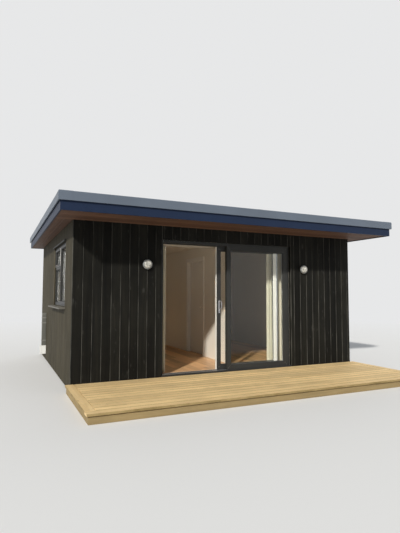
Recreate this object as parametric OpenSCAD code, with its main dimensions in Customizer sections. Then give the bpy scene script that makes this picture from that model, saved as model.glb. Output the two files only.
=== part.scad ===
// Garden office pod: a timber-framed room with dark vertical cladding, a flat
// roof with a deep front overhang, a sliding patio door and a timber deck.
// Millimetres. +X runs along the front to the right, +Y into the building, +Z up.
// The origin is on the ground, in the middle of everything the pod covers.

/* [Building] */
// Width of the building over its cladding
wall_w = 5200; // [5000:50:5600]
// Depth of the building over its cladding
wall_d = 4400; // [4200:50:4800]
// Height of the soffit over the ground
soffit_z = 2472; // [2440:1:2520]
// Thickness of the cladding boards
board_t = 20; // [16:1:24]
// Cover width of the cladding boards
board_w = 139; // [120:1:145]
// Place of the first joint between boards, from each left corner
first_joint = 149; // [60:1:150]
// Thickness of the battens behind the cladding
batten_t = 38; // [25:1:45]
// Thickness of the framed wall inside the cladding
core_t = 132; // [120:1:150]
// Height of the foot of the cladding over the ground
cladding_z = 25; // [15:1:60]
// Height of the finished floor over the ground
floor_z = 122; // [118:1:130]
// Height of the ceiling over the ground
ceiling_z = 2410; // [2380:1:2420]

/* [Roof] */
// Overhang of the fascia in front of the front wall
front_over = 755; // [600:5:900]
// Overhang of the fascias beside the side walls
side_over = 275; // [200:5:350]
// Overhang of the fascia behind the back wall
back_over = 60; // [50:5:120]
// Height of the top of the roof edge over the ground
roof_top = 2711; // [2700:1:2760]
// Height of the face of the roof edge trim
trim_h = 125; // [110:1:140]
// How far the roof edge trim stands in front of the fascia
trim_proud = 26; // [18:1:34]
// Thickness of the fascia boards
fascia_t = 20; // [18:1:25]
// How far the fascia hangs below the soffit
fascia_drop = 12; // [8:1:20]
// Fall of the roof surface from front to back
roof_fall = 66; // [40:1:80]

/* [Deck] */
// Width of the deck
deck_w = 5330; // [5200:10:5400]
// Depth of the deck in front of the front wall
deck_d = 1640; // [1400:10:1800]
// Height of the top of the deck over the ground
deck_top = 120; // [105:1:125]
// Width of one deck board
deck_board_w = 121; // [95:1:145]
// Thickness of the deck boards
deck_board_t = 28; // [20:1:32]
// Gap between deck boards
deck_gap = 5; // [4:1:8]

/* [Patio door] */
// Left edge of the door frame, from the middle of the front wall
door_x = -1235; // [-1300:5:-1150]
// Width of the door frame
door_w = 2466; // [2400:2:2500]
// Height of the door frame
door_h = 2152; // [2120:1:2170]
// Depth of the door frame from outside to inside
door_depth = 132; // [132:1:150]
// Width of the side and top members of the door frame
door_member = 45; // [40:1:55]
// Height of the threshold member of the door frame
threshold_h = 28; // [24:1:32]
// Width of the upright stiles of both panels
stile_w = 84; // [75:1:92]
// Width of the top and bottom rails of both panels
rail_w = 84; // [75:1:92]
// Thickness of the two panels
panel_t = 55; // [48:1:55]
// How far the sliding panel stands open
slide_open = 983; // [900:1:983]

/* [Window] */
// Distance of the side window from the front wall face
win_y = 680; // [600:5:760]
// Width of the side window
win_w = 1500; // [1400:5:1600]
// Height of the foot of the side window over the ground
win_z = 1195; // [1150:5:1210]
// Height of the side window
win_h = 1050; // [950:5:1060]
// Setback of the window frame behind the face of the cladding
win_set = 30; // [20:1:38]

/* [Inside] */
// Left face of the partition, from the middle of the building
partition_x = 340; // [280:5:400]
// Thickness of the partition
partition_t = 100; // [90:1:110]
// Distance of the free end of the partition from the front wall face
partition_y = 800; // [700:5:900]
// Distance of the front edge of the inner door leaf from the front wall face
leaf_y = 1833; // [1800:1:1900]
// Width of the inner door leaf
leaf_w = 762; // [686:1:838]
// Height of the inner door leaf
leaf_h = 1981; // [1950:1:2000]

/* [Fittings] */
// Outer diameter of the round wall lights
light_d = 152; // [130:1:180]
// Height of the middle of the wall lights over the ground
light_z = 1855; // [1800:5:1910]
// Left wall light, from the middle of the front wall
light_left_x = -1480; // [-1600:5:-1400]
// Right wall light, from the middle of the front wall
light_right_x = 1502; // [1400:5:1600]

/* [Hidden] */
$fn = 48;

// Depth of the V joint between cladding boards
groove = 6;

// Small overlap that joins pieces of one node, and clearance round what moves
join = 1;
clear = 5;

// The gutter stands behind the back fascia
gutter_d = 106;
gutter_t = 3;
skin_t = 3;

// Places along Y: the face of the front wall, and what follows from it
whole_d = deck_d + wall_d + back_over + skin_t + gutter_d;
front_y = -whole_d / 2 + deck_d;
back_y = front_y + wall_d;
core_y0 = front_y + board_t + batten_t;
core_y1 = back_y - board_t - batten_t;
room_y0 = core_y0 + core_t;
room_y1 = core_y1 - core_t;

// Places along X
side_x = wall_w / 2;
core_x = side_x - board_t - batten_t;
room_x = core_x - core_t;

// Levels of the floor
floor_board_t = 12;
bearer_h = 45;
bearer_w = 100;
wall_foot = floor_z - floor_board_t;

// Levels and places of the roof
soffit_t = 12;
panel_z = soffit_z + soffit_t;
fascia_z = soffit_z - fascia_drop;
sheet_t = 3;
kerb_top = roof_top - sheet_t;
kerb_w = 70;
fascia_x = side_x + side_over;
fascia_y0 = front_y - front_over;
fascia_y1 = back_y + back_over;
surface_front = roof_top - 36;
surface_back = surface_front - roof_fall;

// Levels and places of the patio door
door_y = core_y0;
door_z = wall_foot;
door_x1 = door_x + door_w;
panel_z0 = door_z + threshold_h + clear;
panel_z1 = door_z + door_h - door_member - clear;
fixed_y = door_y + 3;
slide_y = fixed_y + panel_t + 16;
panel_w = (door_w - 2 * door_member) / 2 + stile_w / 2;
slide_x = door_x + door_member + clear + slide_open;
fixed_x = door_x1 - door_member - panel_w;
glass_t = 24;
handle_z = floor_z + 1066;
handle_x = 46;
spindle_d = 8;

// Places of the window
win_y0 = front_y + win_y;
win_y1 = win_y0 + win_w;
win_depth = 70;
win_member = 50;
mullion_w = 62;
win_x = -side_x + win_set;
win_z1 = win_z + win_h;
win_mid = (win_y0 + win_y1) / 2;
transom_z = win_z1 - 375;
win_glass_x = win_x + 28;

// The window's three lights, each as [y0, y1, z0, z1]: the front one and the
// upper back one open, and the lower back one is fixed
win_lights = [[win_y0 + win_member, win_mid - mullion_w / 2, win_z + win_member, win_z1 - win_member],
    [win_mid + mullion_w / 2, win_y1 - win_member, transom_z + mullion_w / 2, win_z1 - win_member],
    [win_mid + mullion_w / 2, win_y1 - win_member, win_z + win_member, transom_z - mullion_w / 2]];
win_insets = [32, 32, 14];

// Places of the curtains and their track
track_y = room_y0 + 78;
track_z0 = door_z + door_h - door_member - 29;
track_z1 = track_z0 + 34;
track_x0 = door_x - 185;
track_x1 = door_x1 + 69;

// Places of the inner door
leaf_t = 35;
lining_t = 27;
leaf_gap = 8.5;
leaf_y0 = front_y + leaf_y;
leaf_y1 = leaf_y0 + leaf_w;
leaf_z0 = floor_z + 6;
leaf_z1 = leaf_z0 + leaf_h;
hole_y0 = leaf_y0 - leaf_gap - lining_t;
hole_y1 = leaf_y1 + leaf_gap + lining_t;
hole_z1 = leaf_z1 + leaf_gap + lining_t;

// A box between two corners
module block(x0, x1, y0, y1, z0, z1) {
    translate([x0, y0, z0]) cube([x1 - x0, y1 - y0, z1 - z0]);
}

// An outline in Y and Z, drawn as [y, z] points, extruded along X
module along_x(x0, x1) {
    translate([x0, 0, 0]) rotate([90, 0, 90]) linear_extrude(x1 - x0) children();
}

// An outline in X and Z, drawn as [x, z] points, extruded along Y
module along_y(y0, y1) {
    translate([0, y1, 0]) rotate([90, 0, 0]) linear_extrude(y1 - y0) children();
}

// Ladder of bearers that stands on the ground
module base_frame() {
    bearers = 4;
    step = (core_y1 - core_y0 - bearer_w) / (bearers - 1);
    color("#8a7450") union() {
        for (i = [0 : bearers - 1])
            block(-core_x, core_x, core_y0 + i * step, core_y0 + i * step + bearer_w, 0, bearer_h);
        for (x = [-core_x, core_x - bearer_w])
            block(x, x + bearer_w, core_y0, core_y1, 0, bearer_h);
    }
}

// Insulated floor panel, which carries the walls
module floor_panel() {
    color("#b08d57") block(-core_x, core_x, core_y0, core_y1, bearer_h, wall_foot);
}

module floor_boards() {
    color("#c08a55") block(-room_x, room_x, room_y0, room_y1, wall_foot, floor_z);
}

// Walls stand on the floor panel and carry the roof
module front_wall_left() {
    color("#e9e4d8") block(-core_x, door_x, core_y0, room_y0, wall_foot, panel_z);
}

module front_wall_right() {
    color("#e9e4d8") block(door_x1, core_x, core_y0, room_y0, wall_foot, panel_z);
}

module front_wall_header() {
    color("#e9e4d8") block(door_x, door_x1, core_y0, room_y0, door_z + door_h, panel_z);
}

module left_wall() {
    color("#e9e4d8") difference() {
        block(-core_x, -room_x, room_y0, room_y1, wall_foot, panel_z);
        block(-core_x - join, -room_x + join, win_y0, win_y1, win_z, win_z + win_h);
    }
}

module right_wall() {
    color("#e9e4d8") block(room_x, core_x, room_y0, room_y1, wall_foot, panel_z);
}

module back_wall() {
    color("#e9e4d8") block(-core_x, core_x, room_y1, core_y1, wall_foot, panel_z);
}

// One face of cladding: upright boards on level battens, drawn from 0 along X
// with its face at Y = 0 and the battens behind it. The battens stop short of
// both ends by inset.
module boarding(length, inset) {
    battens = 5;
    batten_w = 50;
    joints = [for (x = [first_joint : board_w : length - 40]) x];
    first = cladding_z + 180;
    step = (panel_z - 80 - first) / (battens - 1);
    along_z(cladding_z, panel_z) polygon(concat([[0, board_t], [0, 0]],
        [for (x = joints) each [[x - groove, 0], [x, groove], [x + groove, 0]]],
        [[length, 0], [length, board_t]]));
    for (i = [0 : battens - 1])
        block(inset, length - inset, board_t - join, board_t + batten_t,
            first + i * step, first + i * step + batten_w);
}

// Boards that close the edge of the cladding round an opening
module opening_return(x0, x1, z0, z1) {
    block(x0 - board_t, x1 + board_t, 0, board_t + batten_t, z0 - board_t, z1 + board_t);
}

module front_cladding() {
    x0 = door_x + side_x;
    x1 = door_x1 + side_x;
    color("#26282b") translate([-side_x, front_y, 0]) difference() {
        union() {
            boarding(wall_w, board_t);
            opening_return(x0, x1, deck_top, door_z + door_h);
        }
        block(x0, x1, -join, board_t + batten_t + join, deck_top, door_z + door_h);
    }
}

module left_cladding() {
    z1 = win_z + win_h;
    color("#2c2e2f") translate([-side_x, back_y - board_t, 0]) rotate([0, 0, -90]) difference() {
        union() {
            boarding(wall_d - 2 * board_t, batten_t);
            opening_return(wall_d - win_y - win_w - board_t, wall_d - win_y - board_t, win_z, z1);
        }
        block(wall_d - win_y - win_w - board_t, wall_d - win_y - board_t,
            -join, board_t + batten_t + join, win_z, z1);
    }
}

module right_cladding() {
    color("#26282b") translate([side_x, front_y + board_t, 0]) rotate([0, 0, 90])
        boarding(wall_d - 2 * board_t, batten_t);
}

module back_cladding() {
    color("#26282b") translate([side_x, back_y, 0]) rotate([0, 0, 180]) boarding(wall_w, board_t);
}

// Insulated roof panel with raised kerbs at the front and sides, and a surface
// that falls to the back
module roof_panel() {
    x = fascia_x - fascia_t;
    y0 = fascia_y0 + fascia_t;
    y1 = fascia_y1 - fascia_t;
    color("#b9a77f") union() {
        along_x(-x, x) polygon([[y0, panel_z], [y1, panel_z], [y1, surface_back - skin_t],
            [fascia_y0 + kerb_w, surface_front - skin_t], [y0, surface_front - skin_t]]);
        block(-x, x, y0, y0 + kerb_w - fascia_t, panel_z, kerb_top);
        for (side = [-1, 1])
            block(side > 0 ? x - kerb_w + fascia_t : -x, side > 0 ? x : -x + kerb_w - fascia_t,
                y0, y1, panel_z, kerb_top);
    }
}

// Rubber sheet on the roof, which laps over the back edge into the gutter
module roof_membrane() {
    x = fascia_x - kerb_w;
    y0 = fascia_y0 + kerb_w;
    y1 = fascia_y1 - fascia_t;
    lip = 30;
    color("#3a3d40") along_x(-x, x) polygon([[y0, surface_front - skin_t], [y1, surface_back - skin_t],
        [y1 + fascia_t, surface_back - skin_t], [y1 + fascia_t, surface_back - lip],
        [y1 + fascia_t + skin_t, surface_back - lip], [y1 + fascia_t + skin_t, surface_back],
        [y1, surface_back], [y0, surface_front]]);
}

module ceiling() {
    color("#f0ece2") block(-room_x, room_x, room_y0, room_y1, ceiling_z, ceiling_z + 12);
}

module fascia_front() {
    color("#3b424c") block(-fascia_x, fascia_x, fascia_y0, fascia_y0 + fascia_t, fascia_z, kerb_top);
}

// A side fascia, on the left at side = -1 and on the right at side = 1
module side_fascia(side) {
    x0 = side > 0 ? fascia_x - fascia_t : -fascia_x;
    block(x0, x0 + fascia_t, fascia_y0 + fascia_t, fascia_y1, fascia_z, kerb_top);
}

module fascia_left() {
    color("#3b424c") side_fascia(-1);
}

module fascia_right() {
    color("#3b424c") side_fascia(1);
}

module fascia_back() {
    color("#3b424c") block(-fascia_x + fascia_t, fascia_x - fascia_t,
        fascia_y1 - fascia_t, fascia_y1, fascia_z, surface_back - skin_t);
}

// Section of the roof edge trim, a folded sheet: a cap on the kerb with a
// rounded nose, a face in front of the fascia with a drip turned in at its foot,
// and a lip inside. X is outwards from the fascia, Y is height over the ground.
module trim_section() {
    nose = 14;
    lip = 20;
    drip = 15;
    foot = roof_top - trim_h;
    t = sheet_t;
    polygon(concat([[-kerb_w - t, roof_top - lip], [-kerb_w - t, roof_top]],
        [for (a = [90 : -7.5 : 0]) [trim_proud - nose + nose * cos(a), roof_top - nose + nose * sin(a)]],
        [[trim_proud, foot], [trim_proud - drip, foot], [trim_proud - drip, foot + t], [trim_proud - t, foot + t]],
        [for (a = [0 : 7.5 : 90])
            [trim_proud - nose + (nose - t) * cos(a), roof_top - nose + (nose - t) * sin(a)]],
        [[-kerb_w, kerb_top], [-kerb_w, roof_top - lip]]));
}

module edge_trim_front() {
    reach = fascia_x + trim_proud;
    y_face = fascia_y0 - trim_proud;
    cut = kerb_w + trim_proud + 60;
    color("#8d9499") difference() {
        translate([0, fascia_y0, 0]) rotate([90, 0, -90]) translate([0, 0, -reach])
            linear_extrude(2 * reach) trim_section();
        for (side = [-1, 1])
            translate([side * reach, y_face, foot_below()]) rotate([0, 0, side > 0 ? 0 : 180])
                mirror([0, side > 0 ? 0 : 1, 0]) mitre_wedge(cut);
    }
}

// What a mitre takes off the end of a front trim: the part nearer the side
module mitre_wedge(cut) {
    linear_extrude(roof_top) polygon([[0, 0], [join, 0], [join, cut], [-cut, cut]]);
}

function foot_below() = roof_top - trim_h - 100;

// A side trim runs from its mitre at the front to the back fascia
module side_trim(side) {
    y_face = fascia_y0 - trim_proud;
    cut = kerb_w + trim_proud + 60;
    reach = fascia_x + trim_proud;
    mirror([side > 0 ? 0 : 1, 0, 0]) difference() {
        translate([fascia_x, fascia_y1, 0]) rotate([90, 0, 0])
            linear_extrude(fascia_y1 - y_face) trim_section();
        translate([reach, y_face, foot_below()])
            linear_extrude(roof_top) polygon([[0, 0], [join, 0], [join, -join], [-cut - join, -join], [-cut, cut]]);
    }
}

module edge_trim_left() {
    color("#8d9499") side_trim(-1);
}

module edge_trim_right() {
    color("#8d9499") side_trim(1);
}

module soffit_front() {
    color("#8a5a3c") block(-fascia_x + fascia_t, fascia_x - fascia_t,
        fascia_y0 + fascia_t, front_y, soffit_z, panel_z);
}

module side_soffit(side) {
    x0 = side > 0 ? side_x : -fascia_x + fascia_t;
    x1 = side > 0 ? fascia_x - fascia_t : -side_x;
    block(x0, x1, front_y, fascia_y1 - fascia_t, soffit_z, panel_z);
}

module soffit_left() {
    color("#8a5a3c") side_soffit(-1);
}

module soffit_right() {
    color("#8a5a3c") side_soffit(1);
}

// Half-round gutter on the back fascia, with an outlet and a downpipe that
// ends in a shoe over the ground
module gutter() {
    r = gutter_d / 2;
    y = fascia_y1 + skin_t + r;
    z = surface_back - 42;
    pipe_d = 68;
    pipe_x = fascia_x - 420;
    wall_y = back_y + pipe_d / 2;
    color("#2a2d30") union() {
        difference() {
            translate([-fascia_x + 10, y, z]) rotate([0, 90, 0]) cylinder(r = r, h = 2 * fascia_x - 20);
            translate([-fascia_x + 10 + gutter_t, y, z]) rotate([0, 90, 0])
                cylinder(r = r - gutter_t, h = 2 * fascia_x - 20 - 2 * gutter_t);
            block(-fascia_x, fascia_x, y - r - join, y + r + join, z, z + r + join);
        }
        difference() {
            translate([pipe_x, y, z - r - 60]) cylinder(d = pipe_d, h = 72);
            translate([pipe_x, y, z]) rotate([0, 90, 0])
                cylinder(r = r - gutter_t, h = 2 * pipe_d, center = true);
        }
        hull() {
            translate([pipe_x, y, z - r - 60]) cylinder(d = pipe_d, h = 2);
            translate([pipe_x, wall_y, z - r - 150]) cylinder(d = pipe_d, h = 2);
        }
        translate([pipe_x, wall_y, 130]) cylinder(d = pipe_d, h = z - r - 148 - 130);
        hull() {
            translate([pipe_x, wall_y, 130]) cylinder(d = pipe_d, h = 2);
            translate([pipe_x, wall_y + 40, 70]) cylinder(d = pipe_d, h = 2);
        }
    }
}

// Frame of the patio door with two tracks, and a sill that covers the reveal
module door_frame() {
    z1 = door_z + door_h;
    mid_y = fixed_y + panel_t + clear;
    rib = 6;
    sill = 54;
    color("#3a3f45") union() {
        difference() {
            block(door_x, door_x1, door_y, door_y + door_depth, door_z, z1);
            block(door_x + door_member, door_x1 - door_member, door_y - join, door_y + door_depth + join,
                door_z + threshold_h, z1 - door_member);
        }
        block(door_x + door_member - join, door_x1 - door_member + join, mid_y, mid_y + rib,
            z1 - door_member - 14, z1 - door_member + join);
        block(door_x + door_member - join, door_x1 - door_member + join, mid_y, mid_y + rib,
            door_z + threshold_h - join, door_z + threshold_h + 8);
        along_x(door_x, door_x1) polygon([[door_y - sill, deck_top], [door_y + join, deck_top],
            [door_y + join, deck_top + 14], [door_y - sill, deck_top + 6]]);
    }
}

// A glazed panel of width w with its lower left front corner at the origin:
// stiles, rails, and on both faces a sloped glazing bead with a joint round it
module sash(w, h) {
    bead = 16;
    x1 = w - stile_w;
    z1 = h - rail_w;
    difference() {
        cube([w, panel_t, h]);
        block(stile_w, x1, -join, panel_t + join, rail_w, z1);
        block(stile_w - 14, x1 + 14, (panel_t - glass_t) / 2, (panel_t + glass_t) / 2, rail_w - 14, z1 + 14);
        for (face = [0, 1])
            translate([0, face * panel_t, 0]) mirror([0, face, 0]) {
                bead_slopes(stile_w, x1, rail_w, z1, bead);
                bead_joint(stile_w - bead, x1 + bead, rail_w - bead, z1 + bead);
            }
    }
}

// The narrow joint between the beads and the panel
module bead_joint(x0, x1, z0, z1) {
    w = 1.5;
    difference() {
        block(x0 - w, x1 + w, -join, w, z0 - w, z1 + w);
        block(x0, x1, -2 * join, w + join, z0, z1);
    }
}

// The slope that the beads cut into the front face round an opening
module bead_slopes(x0, x1, z0, z1, bead) {
    depth = 5;
    along_z(z0 - bead, z1 + bead) polygon([[x0 - bead, 0], [x0 + join, -join], [x0 + join, depth]]);
    along_z(z0 - bead, z1 + bead) polygon([[x1 + bead, 0], [x1 - join, -join], [x1 - join, depth]]);
    along_x(x0 - bead, x1 + bead) polygon([[0, z0 - bead], [-join, z0 + join], [depth, z0 + join]]);
    along_x(x0 - bead, x1 + bead) polygon([[0, z1 + bead], [-join, z1 - join], [depth, z1 - join]]);
}

// An outline in X and Y, extruded up from z0 to z1
module along_z(z0, z1) {
    translate([0, 0, z0]) linear_extrude(z1 - z0) children();
}

// The sealed glass unit of a panel, in its rebate
module pane(w, h) {
    seat = 12;
    block(stile_w - seat, w - stile_w + seat, (panel_t - glass_t) / 2, (panel_t + glass_t) / 2,
        rail_w - seat, h - rail_w + seat);
}

module fixed_panel() {
    color("#3a3f45") union() {
        translate([fixed_x, fixed_y, panel_z0 - clear]) sash(panel_w, panel_z1 - panel_z0 + 2 * clear);
        interlock(fixed_x, fixed_y + panel_t - join);
    }
}

// Weather strip on a meeting stile, which overlaps the other panel when shut
module interlock(x, y) {
    block(x, x + 22, y, y + 10.5 + join, panel_z0 + 40, panel_z1 - 40);
}

module fixed_glass() {
    color("#9fb0b4") translate([fixed_x, fixed_y, panel_z0 - clear]) pane(panel_w, panel_z1 - panel_z0 + 2 * clear);
}

module sliding_panel() {
    color("#3a3f45") difference() {
        union() {
            translate([slide_x, slide_y, panel_z0]) sash(panel_w, panel_z1 - panel_z0);
            interlock(slide_x + panel_w - 22, slide_y - 10.5);
        }
        translate([slide_x + handle_x, slide_y - join, handle_z]) rotate([-90, 0, 0])
            cylinder(d = spindle_d + 1, h = panel_t + 2 * join);
    }
}

module sliding_glass() {
    color("#9fb0b4") translate([slide_x, slide_y, panel_z0]) pane(panel_w, panel_z1 - panel_z0);
}

// D-shaped pulls on both faces of the leading stile, each on a plate with a
// lock cylinder, joined by a spindle
module sliding_handle() {
    x = slide_x + handle_x;
    color("#c9ccce") union() {
        translate([x, slide_y, handle_z]) pull(36);
        translate([x, slide_y + panel_t, handle_z]) mirror([0, 1, 0]) pull(30);
        translate([x, slide_y - 1, handle_z]) rotate([-90, 0, 0]) cylinder(d = spindle_d, h = panel_t + 2);
    }
}

// A pull that stands forward from Y = 0 by reach: its grip is set to the right
// and above the middle of the plate
module pull(reach) {
    plate_w = 30;
    plate_h = 214;
    grip = 8;
    aside = 28;
    foot = -32;
    head = 89;
    lock = -83;
    root = grip + 0.5;
    lean = atan(aside / (reach - root));
    rotate([90, 0, 0]) linear_extrude(7) union() {
        square([plate_w, plate_h - plate_w], center = true);
        for (end = [-1, 1])
            translate([0, end * (plate_h - plate_w) / 2]) circle(d = plate_w);
    }
    for (z = [foot, head]) {
        translate([0, -root, z]) sphere(r = grip);
        translate([0, -root, z]) rotate([90, 0, 0]) rotate([0, lean, 0])
            cylinder(r = grip, h = norm([aside, reach - root]));
        translate([aside, -reach, z]) sphere(r = grip);
    }
    translate([aside, -reach, foot]) cylinder(r = grip, h = head - foot);
    translate([0, 0, lock]) rotate([90, 0, 0]) cylinder(d = 17, h = 13);
}

// Side window: frame with a middle mullion and a transom behind it, sashes that
// stand proud round the two opening lights, and a recessed bead in the fixed one
module window_frame() {
    x1 = win_x + win_depth;
    proud = 14;
    lap = 9;
    fixed = win_lights[2];
    color("#3d4247") difference() {
        union() {
            block(win_x, x1, win_y0, win_y1, win_z, win_z1);
            for (light = [win_lights[0], win_lights[1]])
                block(win_x - proud, win_x + join, light[0] - lap, light[1] + lap, light[2] - lap, light[3] + lap);
        }
        for (i = [0 : 2]) {
            light_space(i, 0, win_x - proud - join, x1 + join);
            light_space(i, 10, win_glass_x, win_glass_x + glass_t);
        }
        block(win_x - join, win_x + 10, fixed[0], fixed[1], fixed[2], fixed[3]);
    }
}

// The clear space of one of the window's lights, made larger by more
module light_space(i, more, x0, x1) {
    light = win_lights[i];
    in = win_insets[i] - more;
    block(x0, x1, light[0] + in, light[1] - in, light[2] + in, light[3] - in);
}

module window_glass() {
    color("#9fb0b4") for (i = [0 : 2])
        light_space(i, 8, win_glass_x, win_glass_x + glass_t);
}

// Sloped sill that stands out past the cladding, with a drip groove below
module window_sill() {
    nose = 90;
    z = win_z - 34;
    color("#b9bab5") difference() {
        along_y(win_y0 - 40, win_y1 + 40) polygon([[-side_x - nose, z], [-side_x - nose, z + 20],
            [-side_x, win_z - 4], [-side_x, z]]);
        along_y(win_y0 - 41, win_y1 + 41) polygon([[-side_x - nose + 14, z - join],
            [-side_x - nose + 14, z + 5], [-side_x - nose + 20, z + 5], [-side_x - nose + 20, z - join]]);
    }
}

// Partition beside and over the inner door
module partition_front() {
    color("#efeae0") block(partition_x, partition_x + partition_t, front_y + partition_y, hole_y0,
        floor_z, ceiling_z);
}

module partition_back() {
    color("#efeae0") block(partition_x, partition_x + partition_t, hole_y1, room_y1, floor_z, ceiling_z);
}

module partition_header() {
    color("#efeae0") block(partition_x, partition_x + partition_t, hole_y0, hole_y1, hole_z1, ceiling_z);
}

// Door lining with a stop, and architraves on both faces of the partition
module inner_door_lining() {
    x0 = partition_x;
    x1 = partition_x + partition_t;
    arch_w = 62;
    arch_t = 14;
    set = 8;
    stop_t = 18;
    leaf_x = x1 - leaf_t;
    color("#f3f0e8") difference() {
        union() {
            block(x0, x1, hole_y0, hole_y1, floor_z, hole_z1);
            for (x = [x0 - arch_t, x1])
                block(x, x + arch_t, hole_y0 + lining_t - set - arch_w, hole_y1 - lining_t + set + arch_w,
                    floor_z, hole_z1 - lining_t + set + arch_w);
        }
        block(leaf_x - clear, x1 + arch_t + join, hole_y0 + lining_t, hole_y1 - lining_t,
            floor_z - join, hole_z1 - lining_t);
        block(x0 - arch_t - join, x1, hole_y0 + lining_t + stop_t, hole_y1 - lining_t - stop_t,
            floor_z - join, hole_z1 - lining_t - stop_t);
        for (x = [x0 - arch_t - join, x1])
            block(x, x + arch_t + join, hole_y0 + lining_t - set, hole_y1 - lining_t + set,
                floor_z - join, hole_z1 - lining_t + set);
    }
}

// Flush inner door leaf with hinge knuckles and a lever on each face
module inner_door() {
    x1 = partition_x + partition_t;
    x0 = x1 - leaf_t;
    lever_y = leaf_y0 + 62;
    lever_z = floor_z + 1000;
    color("#f3f0e8") union() {
        block(x0, x1, leaf_y0, leaf_y1, leaf_z0, leaf_z1);
        for (z = [leaf_z0 + 200, leaf_z0 + leaf_h / 2, leaf_z1 - 250])
            translate([x1 + 6, leaf_y1 - 4, z]) cylinder(r = 6.5, h = 76);
        for (side = [-1, 1]) {
            face = side > 0 ? x1 : x0;
            translate([face, lever_y, lever_z]) rotate([0, side * 90, 0]) cylinder(r = 26, h = 8);
            translate([face, lever_y, lever_z]) rotate([0, side * 90, 0]) cylinder(r = 9, h = 48);
            translate([face + side * 42, lever_y, lever_z]) rotate([-90, 0, 0]) cylinder(r = 9, h = 112);
        }
    }
}

// Curtain rail with a slot below, on brackets over the patio door
module curtain_track() {
    brackets = 5;
    step = (track_x1 - track_x0 - 60) / (brackets - 1);
    z = track_z1 - join;
    color("#eeeeea") union() {
        difference() {
            block(track_x0, track_x1, track_y - 13, track_y + 13, track_z0, track_z1);
            block(track_x0 + 8, track_x1 - 8, track_y - 4, track_y + 4, track_z0 - join, track_z0 + 8);
        }
        for (i = [0 : brackets - 1])
            translate([track_x0 + 30 + i * step, 0, 0]) {
                block(-12, 12, room_y0, track_y + 13, z, z + 6);
                block(-12, 12, room_y0, room_y0 + 4, z, z + 32);
            }
    }
}

// A gathered curtain from x0 to x1: a closed solid of its folded shape
module folds(x0, x1) {
    count = 6;
    steps = 8;
    deep = 23;
    half = 12;
    n = count * steps;
    along_z(floor_z + 15, track_z0) polygon(concat(
        [for (i = [0 : n]) [x0 + (x1 - x0) * i / n, track_y - half + deep * sin(360 * i / steps)]],
        [for (i = [n : -1 : 0]) [x0 + (x1 - x0) * i / n, track_y + half + deep * sin(360 * i / steps)]]));
}

module curtain_left() {
    color("#e8e2cf") folds(door_x - 165, door_x + 178);
}

module curtain_right() {
    color("#e8e2cf") folds(door_x1 - 336, door_x1 + 19);
}

// Deck: boards parallel to the front with a border at the front and both ends,
// on a frame of joists with a skirt board set back below their edges
module deck() {
    x1 = deck_w / 2;
    y0 = front_y - deck_d;
    z = deck_top - deck_board_t;
    over = 20;
    skirt_t = 20;
    shadow = 10;
    inset = over + skirt_t;
    joist = 47;
    pitch = deck_board_w + deck_gap;
    border = deck_board_w;
    joists = 13;
    step = (deck_w - 2 * inset - joist) / (joists - 1);
    color("#bfa06b") union() {
        block(-x1, x1, y0, y0 + border, z, deck_top);
        for (side = [-1, 1])
            block(side > 0 ? x1 - border : -x1, side > 0 ? x1 : -x1 + border,
                y0 + pitch, front_y, z, deck_top);
        for (y = [y0 + pitch : pitch : front_y - 20])
            block(-x1 + pitch, x1 - pitch, y, min(y + deck_board_w, front_y), z, deck_top);
        for (i = [0 : joists - 1])
            block(-x1 + inset + i * step, -x1 + inset + i * step + joist, y0 + inset, front_y, 0, z + join);
        for (side = [-1, 1])
            block(side > 0 ? x1 - pitch - joist : -x1 + pitch - deck_gap - join,
                side > 0 ? x1 - pitch + deck_gap + join : -x1 + pitch + joist,
                y0 + inset, front_y, 0, z + join);
        for (y = [y0 + inset, y0 + pitch - joist / 2, front_y - joist])
            block(-x1 + inset, x1 - inset, y, y + joist, 0, z + join);
        block(-x1 + over, x1 - over, y0 + over, y0 + inset + join, 0, z - shadow);
        for (side = [-1, 1])
            block(side > 0 ? x1 - inset - join : -x1 + over, side > 0 ? x1 - over : -x1 + inset + join,
                y0 + over, front_y, 0, z - shadow);
    }
}

// Round bulkhead light: a back box, a rim and a domed lens
module wall_light(x) {
    r = light_d / 2;
    color("#d8d8d0") translate([x, front_y, light_z]) rotate([90, 0, 0]) rotate_extrude($fn = 64)
        polygon([[0, 0], [r - 8, 0], [r - 8, 24], [r, 27], [r, 44], [r - 10, 48], [r - 13, 52],
            [r - 20, 64], [r - 32, 74], [r - 46, 80], [0, 84]]);
}

module wall_light_left() {
    wall_light(light_left_x);
}

module wall_light_right() {
    wall_light(light_right_x);
}

// Upright duct with a rounded top over a box, on the left wall
module service_duct() {
    y = front_y + 3400;
    w = 92;
    d = 84;
    z0 = floor_z + 193;
    z1 = z0 + 635;
    color("#8f9496") union() {
        block(-side_x - d, -side_x, y - w / 2, y + w / 2, z0, z1);
        translate([-side_x, y, z1]) rotate([0, -90, 0]) cylinder(d = w, h = d);
        block(-side_x - 112, -side_x, y - 68, y + 68, z0 - 175, z0 + join);
    }
}

base_frame();
floor_panel();
floor_boards();
front_wall_left();
front_wall_right();
front_wall_header();
left_wall();
right_wall();
back_wall();
front_cladding();
left_cladding();
right_cladding();
back_cladding();
roof_panel();
roof_membrane();
ceiling();
fascia_front();
fascia_left();
fascia_right();
fascia_back();
edge_trim_front();
edge_trim_left();
edge_trim_right();
soffit_front();
soffit_left();
soffit_right();
gutter();
door_frame();
fixed_panel();
fixed_glass();
sliding_panel();
sliding_glass();
sliding_handle();
window_frame();
window_glass();
window_sill();
partition_front();
partition_back();
partition_header();
inner_door_lining();
inner_door();
curtain_track();
curtain_left();
curtain_right();
deck();
wall_light_left();
wall_light_right();
service_duct();
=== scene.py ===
"""A garden office pod: dark upright cladding, a flat roof with a deep front overhang, a sliding
patio door, a side window and a timber deck, dressed around its CAD frame."""

import random
from math import cos, dist, pi, radians, sin, tanh

import bmesh
import bpy
from mathutils import Matrix, Vector


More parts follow.
